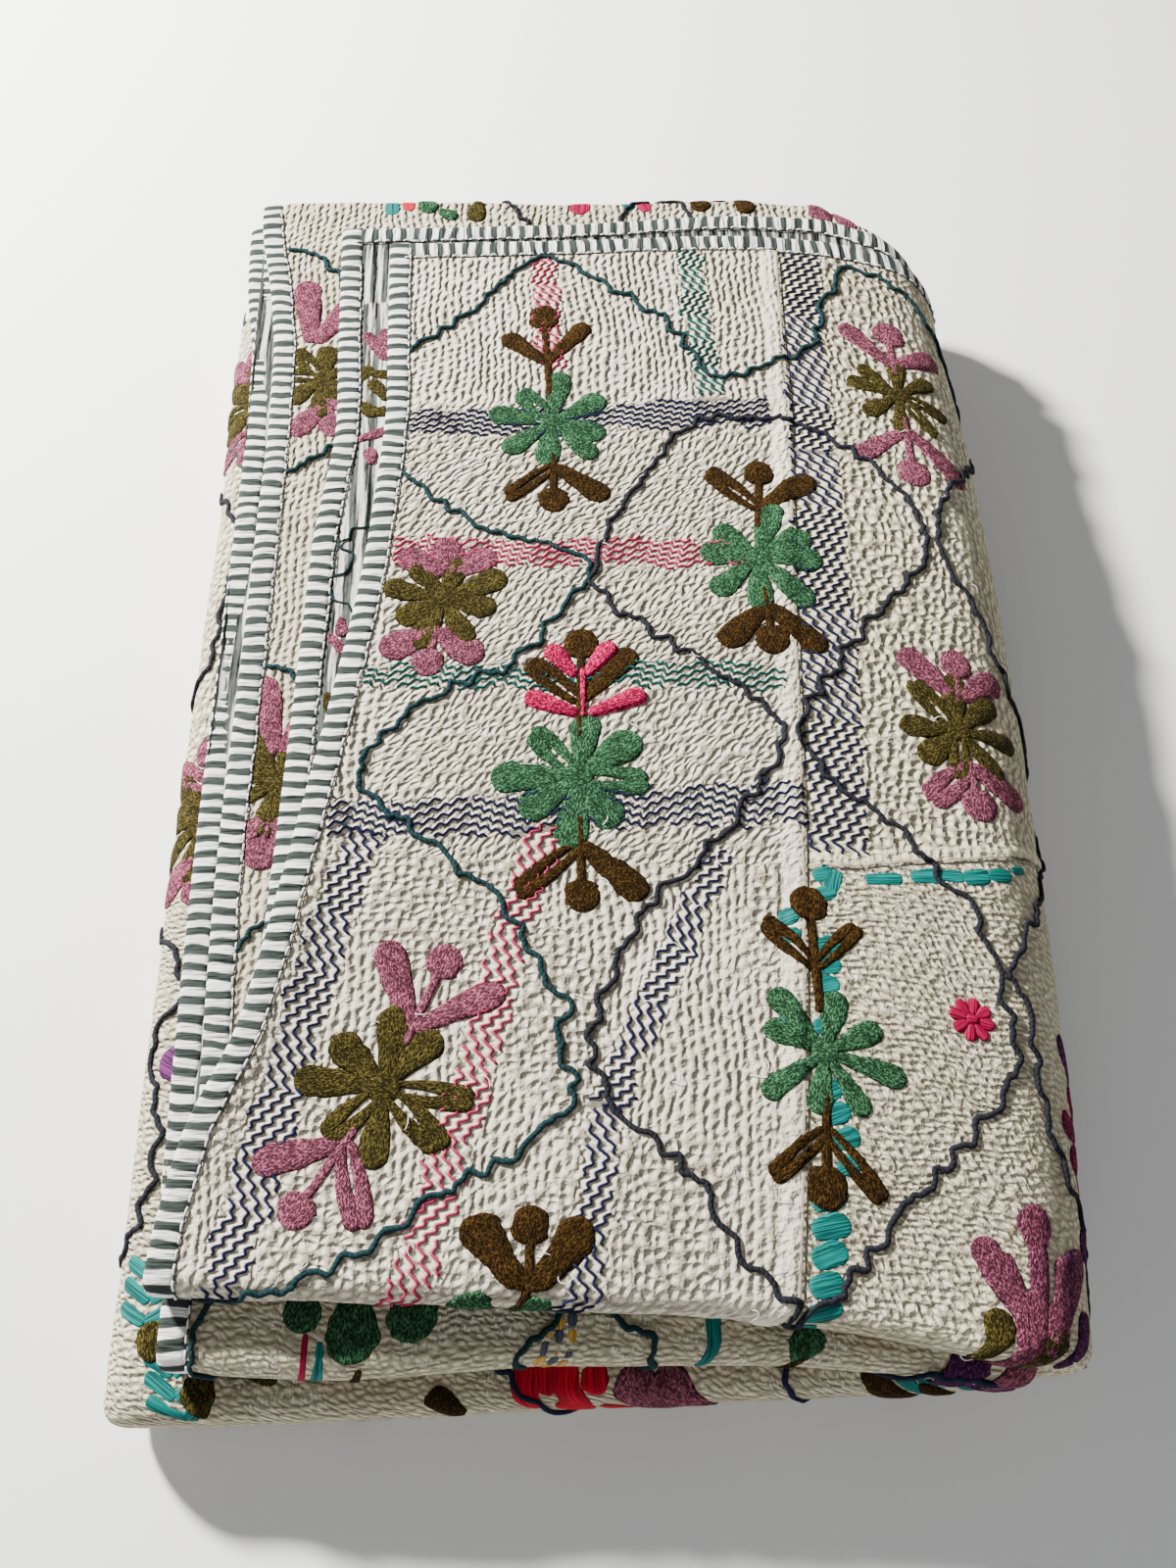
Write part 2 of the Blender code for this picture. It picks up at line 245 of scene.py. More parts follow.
def settle(x, y, z):
    """The stack's lean and its soft hills."""
    at, *leans = zip(*LEAN_PLACES)
    lean_left, lean_right = (MM * smooth_through(at, lean, y / MM) for lean in leans)
    across = np.clip((x - LEFT_BEND_X) / (RIGHT_BEND_X - LEFT_BEND_X), 0, 1)
    turn_x, turn_y = 2 * np.pi * x / HILL_LENGTHS[0], 2 * np.pi * y / HILL_LENGTHS[1]
    z = z * (1 + HILL_HEIGHT * np.sin(turn_x + HILL_PHASE) * np.sin(turn_y))
    x = x + lean_left * (1 - across) + lean_right * across
    return np.stack([x - CENTRE[0], y - CENTRE[1], z], axis=-1)


# ---------------------------------------------------------------- relief of the cloth
# The two patch seams, in millimetres: (v, u) down the quilt, (u, v) across its right-hand patches.
SEAM_PLACES = ((-20, 288), (4, 287), (113, 281), (235, 271), (377, 267), (560, 258), (700, 255))
CROSS_SEAM = ((255, 379), (285, 377), (365, 358), (440, 345), (560, 352))
SEAM_FOLD, CROSS_FOLD, SEAM_GROOVE = 1.3, 1.1, 0.8        # heights and depth, in millimetres
# How far past a seam its fold rises and falls, and its groove's middle and width, in millimetres.
SEAM_PROFILE = ((-9, -5), (-0.5, 1.5), (2, 1.5))
CROSS_PROFILE = ((-7, -4), (-0.5, 1.0), (1.5, 1.3))
# The cross seam starts so many millimetres right of the long one, ends at this u, in metres, and
# is there only before this v.
CROSS_STARTS, CROSS_ENDS, CROSS_LAST_V = (0, 6), (0.50, 0.58), 0.6
UNEVEN = ((0.30, 7, 3), (0.45, 24, 4))                    # height and size in millimetres, seed
TOP_LAYER = (0.45, 0.62)                                  # it ends at this u and this v
# How far the top layer's left edge stands up over the edges below, where along the quilt it rises
# and falls again, and where it ends, in from the edge.
EDGE_HILL, HILL_RISES, HILL_FALLS = 3.2 * MM, (0.20, 0.33), (0.50, 0.556)
HILL_ENDS = (0.008, 0.026)


def soft_step(low, high, value):
    """0 below low, 1 above high, and 3t^2 - 2t^3 between."""
    t = np.clip((value - low) / (high - low), 0, 1)
    return t * t * (3 - 2 * t)


def cloth_noise(u, v, size, seed):
    """Smooth noise from -1 to 1: random values on a square lattice of this size, eased between."""
    values = np.random.default_rng(seed).uniform(-1, 1, (64, 64))
    a, b = np.asarray(u) / size, np.asarray(v) / size
    i, j = np.floor(a).astype(int), np.floor(b).astype(int)
    s, t = a - i, b - j
    s, t = s * s * (3 - 2 * s), t * t * (3 - 2 * t)
    corner = lambda di, dj: values[(i + di) % 64, (j + dj) % 64]
    near = corner(0, 0) * (1 - s) + corner(1, 0) * s
    far = corner(0, 1) * (1 - s) + corner(1, 1) * s
    return near * (1 - t) + far * t


def seam_across(v):
    """Where the long patch seam lies, as u."""
    at, u = zip(*SEAM_PLACES)
    return MM * np.interp(v / MM, at, u)


def cross_seam(u):
    """Where the seam across the right-hand patches lies, as v."""
    at, v = zip(*CROSS_SEAM)
    return MM * np.interp(u / MM, at, v)


def edge_hill(u, v):
    """The rise of the top layer's edge, which lies over a pile of bindings."""
    length = soft_step(*HILL_RISES, v) * (1 - soft_step(*HILL_FALLS, v))
    return EDGE_HILL * length * (1 - soft_step(*HILL_ENDS, u - edges(v)[0]))


def seam_relief(past, rises, falls, groove):
    """A seam's folded edge and the groove exp(-x^2) beside it, from 0 to 1, at these distances."""
    middle, width = groove
    edge = soft_step(*rises, past) * (1 - soft_step(*falls, past))
    return edge, np.exp(-((past - middle) / width) ** 2)


def puckers(u, v):
    """Uneven quilting, and the two patch seams."""
    rough = sum(high * MM * cloth_noise(u, v, size * MM, seed) for high, size, seed in UNEVEN)
    from_seam = (u - seam_across(v)) / MM
    seam, groove = seam_relief(from_seam, *SEAM_PROFILE)
    cross, cross_groove = seam_relief((v - cross_seam(u)) / MM, *CROSS_PROFILE)
    there = soft_step(*CROSS_STARTS, from_seam) * (1 - soft_step(*CROSS_ENDS, u))
    there = there * (v < CROSS_LAST_V)
    on_top = (u < TOP_LAYER[0]) * (v < TOP_LAYER[1])
    lift = rough + on_top * MM * (SEAM_FOLD * seam - SEAM_GROOVE * groove)
    return lift + there * MM * (CROSS_FOLD * cross - SEAM_GROOVE * cross_groove)


def laid(points):
    """(u, v, lift) above the cloth's right side, carried through the quilt's folds.

    The true distances are first turned into the folds' own, for the layer each point is on."""
    u, v, lift = points[..., 0], points[..., 1], points[..., 2]
    along = ALONG.laid(v, np.full_like(v, CLOTH_HALF))
    height = ALONG.at(along)[4]
    across = ACROSS.laid(u, height)
    return place(across, along, CLOTH_HALF + edge_hill(across, along) + puckers(u, v) + lift)


# Needlework is held this far inside an edge and sinks this far under its binding, as it comes
# from the second of the last two distances to the first.
TUCK_IN, TUCK_DOWN, TUCK_REACH = 2.5 * MM, 2.2 * MM, (9.5 * MM, 13.5 * MM)


def tucked_under(points):
    """The needlework's points, sunk under the bindings where it reaches an edge."""
    u, v, lift = points.T
    along = ALONG.laid(v, np.full_like(v, CLOTH_HALF))
    height = ALONG.at(along)[4]
    left, right = (ACROSS.true_distance(edge, height) for edge in edges(along))
    last = ALONG.true_distance(ALONG.end, CLOTH_HALF)
    u, v = np.clip(u, left + TUCK_IN, right - TUCK_IN), np.clip(v, TUCK_IN, last - TUCK_IN)
    reach = np.minimum(np.minimum(u - left, right - u), np.minimum(v, last - v))
    return np.stack([u, v, lift - TUCK_DOWN * (1 - soft_step(*TUCK_REACH, reach))], axis=-1)


# ---------------------------------------------------------------- meshes
LOWEST = 0.05 * MM          # the floor presses the underside flat at this height


def add_piece(name, points, faces, uv, finishes, finish_of=None):
    """An object of quads and triangles. uv has a row for each corner of each face, in order."""
    points[:, 2] = np.maximum(points[:, 2], LOWEST)
    mesh = bpy.data.meshes.new(name)
    mesh.from_pydata(points.tolist(), [], faces)
    mesh.uv_layers.new(name="cloth").data.foreach_set("uv", uv.astype(np.float32).ravel())
    for finish in finishes:
        mesh.materials.append(finish)
    if finish_of is not None:
        mesh.polygons.foreach_set("material_index", finish_of.astype(np.int32))
    mesh.shade_smooth()
    mesh.update()
    piece = bpy.data.objects.new(name, mesh)
    bpy.context.scene.collection.objects.link(piece)
    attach(piece, "root")
    return piece


def grid_faces(numbers):
    """Quads over a grid of point numbers, as (quads, 4)."""
    a, b, c, d = numbers[:-1, :-1], numbers[1:, :-1], numbers[1:, 1:], numbers[:-1, 1:]
    return np.stack([a, b, c, d], axis=-1).reshape(-1, 4)


def grid_corners(values):
    """The values at each corner of grid_faces' quads, as (quads, 4, columns)."""
    parts = [values[:-1, :-1], values[1:, :-1], values[1:, 1:], values[:-1, 1:]]
    return np.stack(parts, axis=2).reshape(-1, 4, values.shape[-1])


# A pad of stitches: how many stations and sides it has, how deep its underside is beside its top,
# the share of its width over which it rises, how ragged its rim is, and its least half width.
PAD_STATIONS, PAD_SIDES = 15, 12
PAD_UNDERSIDE, PAD_SHOULDER, PAD_RAGGED, PAD_LEAST = 0.35, 0.28, 0.12, 0.02 * MM


class Needlework:
    """Closed tubes and pads laid on the cloth, gathered into one mesh. On the wrong side, lift
    is measured from there, and every face is turned round."""

    def __init__(self, wrong_side=False, over_hem=False):
        self.points, self.faces, self.uv, self.count = [], [], [], 0
        self.over_hem = over_hem
        self.order = slice(None, None, -1) if wrong_side else slice(None)
        self.wrong_side = wrong_side

    def add_rings(self, rings, along, round_uv):
        """Rings of (u, v, lift), joined in order and closed at both ends by their middles."""
        stations, sides = rings.shape[:2]
        tips = rings[[0, -1]].mean(axis=1)
        numbers = self.count + np.arange(stations * sides).reshape(stations, sides)
        first, last = self.count + stations * sides, self.count + stations * sides + 1
        around = np.concatenate([numbers, numbers[:, :1]], axis=1)
        start = np.stack([np.full(sides, first), around[0, :-1], around[0, 1:]], axis=-1)
        end = np.stack([np.full(sides, last), around[-1, 1:], around[-1, :-1]], axis=-1)
        values = np.stack(np.broadcast_arrays(along, round_uv), axis=-1)
        self.points.append(np.concatenate([rings.reshape(-1, 3), tips]))
        for faces in (grid_faces(around), start, end):
            self.faces += faces[:, self.order].tolist()
        self.uv += [grid_corners(values)[:, self.order].reshape(-1, 2)]
        self.uv += [np.repeat(values[:1, :-1].reshape(-1, 2), 3, axis=0)]
        self.uv += [np.repeat(values[-1:, :-1].reshape(-1, 2), 3, axis=0)]
        self.count += stations * sides + 2

    def add_thread(self, path, radius, sides=6, squash=1.0):
        """A round thread along a path of (u, v, lift)."""
        forward = np.gradient(path[:, :2], axis=0)
        forward /= np.linalg.norm(forward, axis=1, keepdims=True) + 1e-12
        turn = np.linspace(0, 2 * np.pi, sides, endpoint=False)
        across = np.stack([-forward[:, 1], forward[:, 0], 0 * forward[:, 0]], axis=-1)
        radius = np.broadcast_to(radius, len(path))[:, None, None]
        rings = path[:, None] + radius * (
            np.cos(turn)[None, :, None] * across[:, None]
            + squash * np.sin(turn)[None, :, None] * np.array([0.0, 0.0, 1.0])
        )
        self.add_rings(rings, distance_along(path)[:, None], np.linspace(0, 1, sides + 1)[None, :])

    def add_pad(self, u, v, angle, length, width, base=0.55, bow=0.0, height=1.0 * MM, seed=0):
        """A petal, leaf or bud of dense stitches: from its narrow base at (u, v) towards angle,
        with a round end, domed across as (1 - b^6) and a little ragged at the rim."""
        cap = min(0.5 * width / length, 0.5)
        t = np.linspace(0, np.pi, PAD_STATIONS)
        a = 0.5 - 0.5 * np.cos(t)
        swell = base + (1 - base) * soft_step(0, 1 - cap, a)
        tip = np.sqrt(np.clip(1 - np.clip((a - 1 + cap) / cap, 0, 1) ** 2, 0, 1))
        root = np.sqrt(np.clip(1 - np.clip((0.5 * cap - a) / (0.5 * cap), 0, 1) ** 2, 0, 1))
        half = 0.5 * width * swell * tip * root + PAD_LEAST
        turn = np.linspace(0, 2 * np.pi, PAD_SIDES, endpoint=False)
        b = np.cos(turn)
        top = np.where(np.sin(turn) >= 0, 1.0, -PAD_UNDERSIDE)
        full = np.minimum(1, half / (PAD_SHOULDER * width))[:, None] ** 0.6
        lift = height * top[None] * full * (1 - b**6)
        rim = cloth_noise(40 * a[:, None] + 7 * b[None], seed + 3 * b[None], 1.0, seed)
        ragged = 1 + PAD_RAGGED * rim
        side = half[:, None] * b[None] * ragged + bow * np.sin(np.pi * a)[:, None]
        forward = np.array([np.cos(angle), np.sin(angle)])
        left = np.array([-forward[1], forward[0]])
        flat = (a * length)[:, None, None] * forward + side[..., None] * left
        rings = np.concatenate([flat + [u, v], lift[..., None]], axis=-1)
        round_uv = np.concatenate([half[:, None] * b[None], half[:, None] * b[None, :1]], axis=1)
        self.add_rings(rings, (a * length)[:, None] + 0.1 * seed, round_uv)

    def finish(self, name, finish, slot="embroidery"):
        points = np.concatenate(self.points)
        if not self.over_hem:
            points = tucked_under(points)
        if self.wrong_side:
            points[:, 2] = -2 * CLOTH_HALF - points[:, 2]
        piece = add_piece(name, laid(points), self.faces, np.concatenate(self.uv), [finish])
        return piece


# ---------------------------------------------------------------- finishes
class Socket:
    """One output of a finish's nodes, which can be used in sums."""

    def __init__(self, finish, output):
        self.finish, self.output = finish, output

    def __add__(self, other):
        return self.finish.math("ADD", self, other)

    def __sub__(self, other):
        return self.finish.math("SUBTRACT", self, other)

    def __rsub__(self, other):
        return self.finish.math("SUBTRACT", other, self)

    def __mul__(self, other):
        return self.finish.math("MULTIPLY", self, other)

    def __truediv__(self, other):
        return self.finish.math("DIVIDE", self, other)

    def __pow__(self, other):
        return self.finish.math("POWER", self, other)

    __radd__, __rmul__ = __add__, __mul__

    def above(self, edge, soft):
        """0 below the edge and 1 above it, over a soft width."""
        return self.finish.math("ADD", (self - edge) / soft, 0.5, clamp=True)


SPECULAR = 0.08            # cotton and wool give back little shine


class Finish:
    """A material with one Principled shader, whose patterns read the piece's own UV map."""

    def __init__(self, name, roughness):
        self.material = bpy.data.materials.new(name)
        self.material.use_nodes = True
        self.tree = self.material.node_tree
        self.shader = self.tree.nodes["Principled BSDF"]
        self.shader.inputs["Roughness"].default_value = roughness
        self.shader.inputs["Specular IOR Level"].default_value = SPECULAR
        uv = self.node("ShaderNodeUVMap", {"uv_map": "cloth"})
        split = self.node("ShaderNodeSeparateXYZ", {}, Vector=self.out(uv, "UV"))
        self.u = self.out(split, "X") * 1000.0        # in millimetres
        self.v = self.out(split, "Y") * 1000.0

    def node(self, kind, settings=None, **sockets):
        made = self.tree.nodes.new(kind)
        for key, value in (settings or {}).items():
            setattr(made, key, value)
        for key, value in sockets.items():
            self.feed(made, key.replace("_", " "), value)
        return made

    def feed(self, made, key, value):
        socket = made.inputs[int(key)] if key.isdigit() else made.inputs[key]
        if isinstance(value, Socket):
            self.tree.links.new(value.output, socket)
        else:
            socket.default_value = value

    def out(self, made, name):
        return Socket(self, made.outputs[name])

    def math(self, operation, a, b=0.0, clamp=False):
        made = self.node("ShaderNodeMath", {"operation": operation, "use_clamp": clamp})
        self.feed(made, "0", a)
        self.feed(made, "1", b)
        return self.out(made, "Value")

    def vector(self, x, y, z=0.0):
        return self.out(self.node("ShaderNodeCombineXYZ", {}, X=x, Y=y, Z=z), "Vector")

    def noise(self, vector, scale, detail=2.0):
        made = self.node("ShaderNodeTexNoise", {"noise_dimensions": "3D"}, Vector=vector,
                         Scale=scale, Detail=detail)
        return self.out(made, "Fac")

    def attribute(self, name):
        """The three parts of an attribute that the quilt's points hold."""
        held = self.node("ShaderNodeAttribute",
                         {"attribute_name": name, "attribute_type": "GEOMETRY"})
        split = self.node("ShaderNodeSeparateXYZ", {}, Vector=self.out(held, "Vector"))
        return [self.out(split, axis) for axis in "XYZ"]

    def cells(self, vector, randomness):
        """How far each place is from the nearest of a lattice of loose points, one to a unit."""
        made = self.node("ShaderNodeTexVoronoi", {"voronoi_dimensions": "2D", "feature": "F1"},
                         Vector=vector, Scale=1.0, Randomness=randomness)
        return self.out(made, "Distance")

    def blend(self, share, a, b):
        """Colour a where share is 0, b where it is 1."""
        made = self.node("ShaderNodeMix", {"data_type": "RGBA"})
        for index, value in ((0, share), (6, a), (7, b)):
            value = (*value, 1.0) if isinstance(value, tuple) else value
            if isinstance(value, Socket):
                self.tree.links.new(value.output, made.inputs[index])
            else:
                made.inputs[index].default_value = value
        return Socket(self, made.outputs[2])

    def bump(self, height, distance):
        made = self.node("ShaderNodeBump", {}, Height=height, Strength=1.0, Distance=distance)
        self.tree.links.new(made.outputs["Normal"], self.shader.inputs["Normal"])

    def colour(self, value):
        self.feed(self.shader, "Base Color", value)


# Shares of light that the cloths and yarns give back, as (red, green, blue).
CREAM = {
    # The last colour on the next line serves both random stains and painted shade on the layers
    # below the top.
    "pinkish": (0.71, 0.645, 0.515), "ivory": (0.68, 0.62, 0.435), "worn": (0.50, 0.45, 0.325),
    # The next colour is painted shade, for the dips between the puffs.
    "crease_shade": (0.25, 0.215, 0.155),
}
REVERSE = {"white": (0.53, 0.515, 0.45), "grey": (0.034, 0.042, 0.040)}
STRIPES = {"white": ((0.70, 0.70, 0.67), (0.82, 0.81, 0.78)),
           "grey": ((0.020, 0.027, 0.025), (0.046, 0.058, 0.053))}
WOOL = {
    "green": (0.036, 0.110, 0.050), "olive": (0.054, 0.043, 0.010), "brown": (0.040, 0.020, 0.004),
    "mauve": (0.225, 0.065, 0.102), "pink": (0.560, 0.014, 0.090), "purple": (0.080, 0.016, 0.075),
    # The last wool on the next line is mauve darkened as painted shade, for the tulip at the front
    # right.
    "magenta": (0.190, 0.012, 0.058), "plum": (0.180, 0.047, 0.084),
}
SILK = {
    "turquoise": (0.004, 0.115, 0.105), "scarlet": (0.340, 0.005, 0.018),
    "mustard": (0.420, 0.240, 0.050), "purple": (0.090, 0.018, 0.085),
    "crimson": (0.230, 0.003, 0.034), "slate": (0.060, 0.065, 0.080),
}
YARN = {"teal": (0.010, 0.030, 0.034), "charcoal": (0.016, 0.017, 0.023),
        "navy": (0.012, 0.015, 0.038)}
STRAND = {"navy": (0.008, 0.010, 0.040), "rose": (0.350, 0.024, 0.075),
          "jade": (0.006, 0.070, 0.062)}
WHITE_THREAD = (0.78, 0.77, 0.70)

# How far apart the wrong side's stripes are, and those of its last piece, a binding's bars and a
# yarn's plies, and where the first stripe starts, in millimetres.
STRIPE_PITCH, END_PITCH, BAR_PITCH, PLY_PITCH, STRIPE_START = 7.4, 6.6, 7.6, 2.2, 62.0

# The quilting of each zone: its rows' angle from v in degrees, a puff's size across and along them
# in millimetres, each row's shift from the last, looseness, share of rib, and height.
QUILTING = {
    "lengthwise": (0.0, 4.1, 5.4, 0.50, 0.45, 0.50, 1.35),
    "waffle": (3.0, 4.5, 4.6, 0.04, 0.70, 0.10, 1.45),
    "slanted": (24.0, 3.6, 5.0, 0.50, 0.80, 0.15, 1.30),
    "crosswise": (87.0, 3.0, 4.0, 0.50, 0.60, 0.12, 0.90),
}
REVERSE_QUILTING = (0.0, 3.9, 6.0, 0.50, 0.40, 0.40)
CROSSWISE_RISE = 0.05      # the crosswise rows lie this much higher than the rest
PUFF_REACH = 0.66          # a puff ends this far from its middle, in cells
BROAD_DRIFT, SMALL_DRIFT = 9.0, 2.6           # how far noise moves the rows, in millimetres
# Where the zones change, in millimetres: the plain strip at the head, the strip of lengthwise rows
# beside the left edge, the layers below, whose cloth is painted darker as shade, and the end of
# the top layer.
HEAD_STRIP_V, EDGE_STRIP_U, LOWER_LAYERS_V, TOP_END_V, TOP_END_U = 118.0, 82.0, 700.0, 600.0, 460.0
END_PIECE_V = 2357.0       # the wrong side's last piece starts here

# A band's lines of thread step up and down over this many millimetres, by this share of their
# pitch, and each line's steps come this much later than the last line's, for each pitch. They
# also sway by a share of the pitch, over this many millimetres.
STEP_LENGTH, STEP_RISE, STEP_SHIFT = 5.0, 0.20, 0.22
SWAY_RISE, SWAY_LENGTH, SWAY_PHASE = 0.12, 9.0, 6.0


def shaded(colour, factor):
    return tuple(min(1.0, c * factor) for c in colour)


def led_astray(finish):
    """The cloth's own places, u and v, moved by a broad and a small noise."""
    u, v = finish.u, finish.v

    def drift(rate, seed):
        return finish.noise(finish.vector(u * rate, v * rate, seed), 1.0, 0.0) - 0.5

    return [place + drift(0.022, 3.0 + k) * BROAD_DRIFT + drift(0.17, 8.0 + k) * SMALL_DRIFT
            for k, place in enumerate((u, v))]


def puffs(finish, places, turn, across, along, shear, loose, rib):
    """Puffs of cloth between rows of running stitch, which run at this angle from v.

    They stand on a lattice of across x along millimetres, each row shifted on by shear from the
    last, and a puff's middle is loose in its cell. Height is (1 + cos(pi d / PUFF_REACH)) / 2,
    where d is how far the nearest middle is, in cells: so it dips softly all round each puff. A
    share of it, rib, is sin^2(pi r) instead, for the rows' own ridges."""
    u, v = places
    turn = np.radians(turn)
    r = (u * np.cos(turn) + v * np.sin(turn)) / across
    s = (v * np.cos(turn) - u * np.sin(turn)) / along + r * shear
    from_middle = finish.cells(finish.vector(r, s), loose)
    puff = finish.math("COSINE", from_middle * (np.pi / PUFF_REACH)) * 0.5 + 0.5
    return puff * (1.0 - rib) + finish.math("SINE", r * np.pi) ** 2.0 * rib


def band_rows(finish):
    """Inside a band, how high the cloth puffs between its stepped lines of thread, and a mask.

    The quilt's attributes hold each band's own places, from which line() works out the nearest
    line of thread here as it does for the threads themselves."""
    across, along, inside = finish.attribute("band_place")
    rise, rate, phase = finish.attribute("band_zigzag")
    fold = finish.math("ABSOLUTE", finish.math("FRACT", along * rate + phase) * 2.0 - 1.0) - 0.5
    step = finish.math("SINE", (along / STEP_LENGTH + across * STEP_SHIFT) * (2 * np.pi))
    sway = finish.math("SINE", along / SWAY_LENGTH + phase * SWAY_PHASE) * SWAY_RISE
    nearest = across - rise * fold - step * STEP_RISE - sway
    ridge = finish.math("SINE", nearest * np.pi) ** 2.0
    return ridge * (step * 0.2 + 0.8), inside.above(0.3, 1.6)


def seam_folds(finish, from_seam, from_cross, right):
    """How far each place is on the folded cloth beside a patch seam, and how far in its slit."""
    on_top = (TOP_END_V - finish.v).above(0.0, 4.0) * (TOP_END_U - finish.u).above(0.0, 4.0)

    def strip(distance, middle, half, soft):
        """1 within half a width of a line beside the seam, in millimetres, and 0 past it."""
        away = finish.math("ABSOLUTE", distance - middle)
        return (half - away).above(0.0, soft) * on_top

    folds = finish.math("MAXIMUM", strip(from_seam, -5.5, 5.0, 1.5),
                        strip(from_cross, -3.5, 3.0, 1.5) * right)
    slits = finish.math("MAXIMUM", strip(from_seam, 0.7, 1.1, 1.0),
                        strip(from_cross, 0.6, 0.9, 1.0) * right)
    return folds * 0.58, slits * 0.8


def cream_height(finish, far):
    """How high the right side's quilting stands, zone by zone, and a mask of what is right of the
    long seam."""
    u, v = finish.u, finish.v
    from_seam, from_cross, _ = finish.attribute("from_seams")
    right = from_seam.above(0.0, 0.8)
    front = (v - HEAD_STRIP_V).above(0.0, 6.0)
    below = from_cross.above(0.0, 1.5)
    patchy = finish.noise(finish.vector(u * 0.012, v * 0.012, 2.0), 1.0, 1.0).above(0.49, 0.04)
    places = led_astray(finish)
    lengthwise, waffle, slanted, crosswise = (
        puffs(finish, places, *row[:-1]) * row[-1] for row in QUILTING.values())
    upright = right * (1.0 - below) + (1.0 - right) * (1.0 - front)
    edge = (EDGE_STRIP_U - u).above(0.0, 8.0) * front * (1.0 - right)
    low_left = below * (1.0 - right)
    upright = upright * (1.0 - edge) * (1.0 - low_left) + edge * (1.0 - low_left)
    level = below * right
    grid = right * (1.0 - below)
    height = lengthwise * (upright - grid) + waffle * grid + (crosswise + CROSSWISE_RISE) * level
    mixed = waffle * patchy * 0.75 + lengthwise * (1.0 - patchy) * 0.85
    height = height + mixed * low_left + slanted * (1.0 - upright - level - low_left)
    height = height * (1.0 - far) + lengthwise * 0.85 * far
    ridges, banded = band_rows(finish)
    height = height * (1.0 - banded) + ridges * banded
    folded, slit = seam_folds(finish, from_seam, from_cross, right)
    return height * (1.0 - folded) + folded * 0.9 - slit, right


def make_cream():
    """The quilt's right side: cream patches, puffed between rows of stitches, with painted shade in
    the dips, a little stained, painted darker as shade on the layers below the top, and with white
    stitches that glint here and there."""
    finish = Finish("cream_quilting", 0.92)
    u, v = finish.u, finish.v
    far = (v - LOWER_LAYERS_V).above(0.0, 20.0)
    height, right = cream_height(finish, far)
    pebble = finish.noise(finish.vector(u * 0.3, v * 0.3, 4.0), 1.0, 1.0)
    fine = finish.noise(finish.vector(u, v), 0.75, 1.0)
    finish.bump(height + pebble * 0.6 + fine * 0.42, 2.0 * MM)
    patch = finish.blend(right, CREAM["pinkish"], CREAM["ivory"])
    stain = finish.noise(finish.vector(u * 0.02, v * 0.02), 1.0, 1.0)
    # Random stains, and painted shade that makes the layers below the top darker.
    worn = (stain - 0.45).above(0.0, 0.3) * 0.35 + far * 0.5
    patch = finish.blend(worn, patch, CREAM["worn"])
    # Painted shade in the dips between the puffs and in the seams' slits.
    crease_shade = (0.34 - height).above(0.0, 0.50) * 0.75
    patch = finish.blend(crease_shade, patch, CREAM["crease_shade"])
    from_stitch = finish.cells(finish.vector(u / 1.9, v / 5.6, 3.0), 0.9)
    glint = (0.20 - from_stitch).above(0.0, 0.06)
    scarce = finish.noise(finish.vector(u * 0.05, v * 0.05, 9.0), 1.0, 1.0).above(0.56, 0.06)
    finish.colour(finish.blend(glint * scarce * 0.8, patch, WHITE_THREAD))
    return finish.material


def make_reverse():
    """The quilt's wrong side: soft cotton with grey stripes, and a piece at its end with narrower
    ones. Its pleats run along the quilt, as a noise drawn out that way."""
    finish = Finish("striped_reverse", 0.92)
    u, v = finish.u, finish.v
    drift = finish.noise(finish.vector(u * 0.05, v * 0.02), 1.0) - 0.5
    phase = (u + drift * 7.0 - STRIPE_START) * (2 * np.pi / STRIPE_PITCH)
    broad = finish.math("SINE", phase).above(0.10, 0.5)
    narrow = finish.math("SINE", (u + drift * 3.0) * (2 * np.pi / END_PITCH)).above(0.0, 0.4)
    end = (v - END_PIECE_V).above(0.0, 1.5)
    thread = finish.noise(finish.vector(u * 0.9, v * 0.05), 1.0, 2.0)
    mask = (broad * (1.0 - end) + narrow * end) * (thread * 0.4 + 0.75)
    finish.colour(finish.blend(mask, REVERSE["white"], REVERSE["grey"]))
    pleats = finish.noise(finish.vector(u * 0.16, v * 0.012, 2.0), 1.0, 2.0)
    rows = puffs(finish, led_astray(finish), *REVERSE_QUILTING)
    finish.bump(rows * 0.35 + pleats * 4.0 + thread * 0.2, 2.0 * MM)
    return finish.material


def make_wool(name, colour):
    """Soft yarn in close chain stitches: short strands that cross, some painted pale as highlight,
    with painted shade between them.
    """
    finish = Finish(name, 0.95)
    u, v = finish.u, finish.v
    one = finish.noise(finish.vector(u * 0.5 + v * 0.4, v * 1.3 - u * 0.4), 1.0, 3.0)
    other = finish.noise(finish.vector(u * 0.5 - v * 0.4, v * 1.3 + u * 0.4, 7.0), 1.0, 3.0)
    strand = finish.math("MAXIMUM", one, other)
    broad = finish.noise(finish.vector(u * 0.25, v * 0.25, 3.7), 1.0, 2.0) - 0.5
    # Lit and shaded copies of the wool's colour: the pale strands are painted highlight.
    body = finish.blend((strand + broad * 0.25).above(0.61, 0.10), colour, shaded(colour, 2.3))
    # The dark between the strands is painted shade.
    gap = (0.535 - strand - broad * 0.2).above(0.0, 0.07)
    finish.colour(finish.blend(gap, body, shaded(colour, 0.30)))
    finish.bump(strand * 2.0, 1.5 * MM)
    return finish.material


def make_silk(name, colour):
    """Satin stitch: smooth threads side by side along the block, painted in lit and shaded copies
    of its colour, thread by thread, as sheen and shade.
    """
    finish = Finish(name, 0.6)
    u, v = finish.u, finish.v
    thread = finish.noise(finish.vector(u * 0.05, v * 1.5), 1.0, 2.0)
    # Painted sheen and shade: the threads in lit and shaded copies of the silk's colour.
    finish.colour(finish.blend(thread.above(0.5, 0.25), shaded(colour, 0.45), shaded(colour, 1.7)))
    finish.bump(thread, 0.6 * MM)
    return finish.material


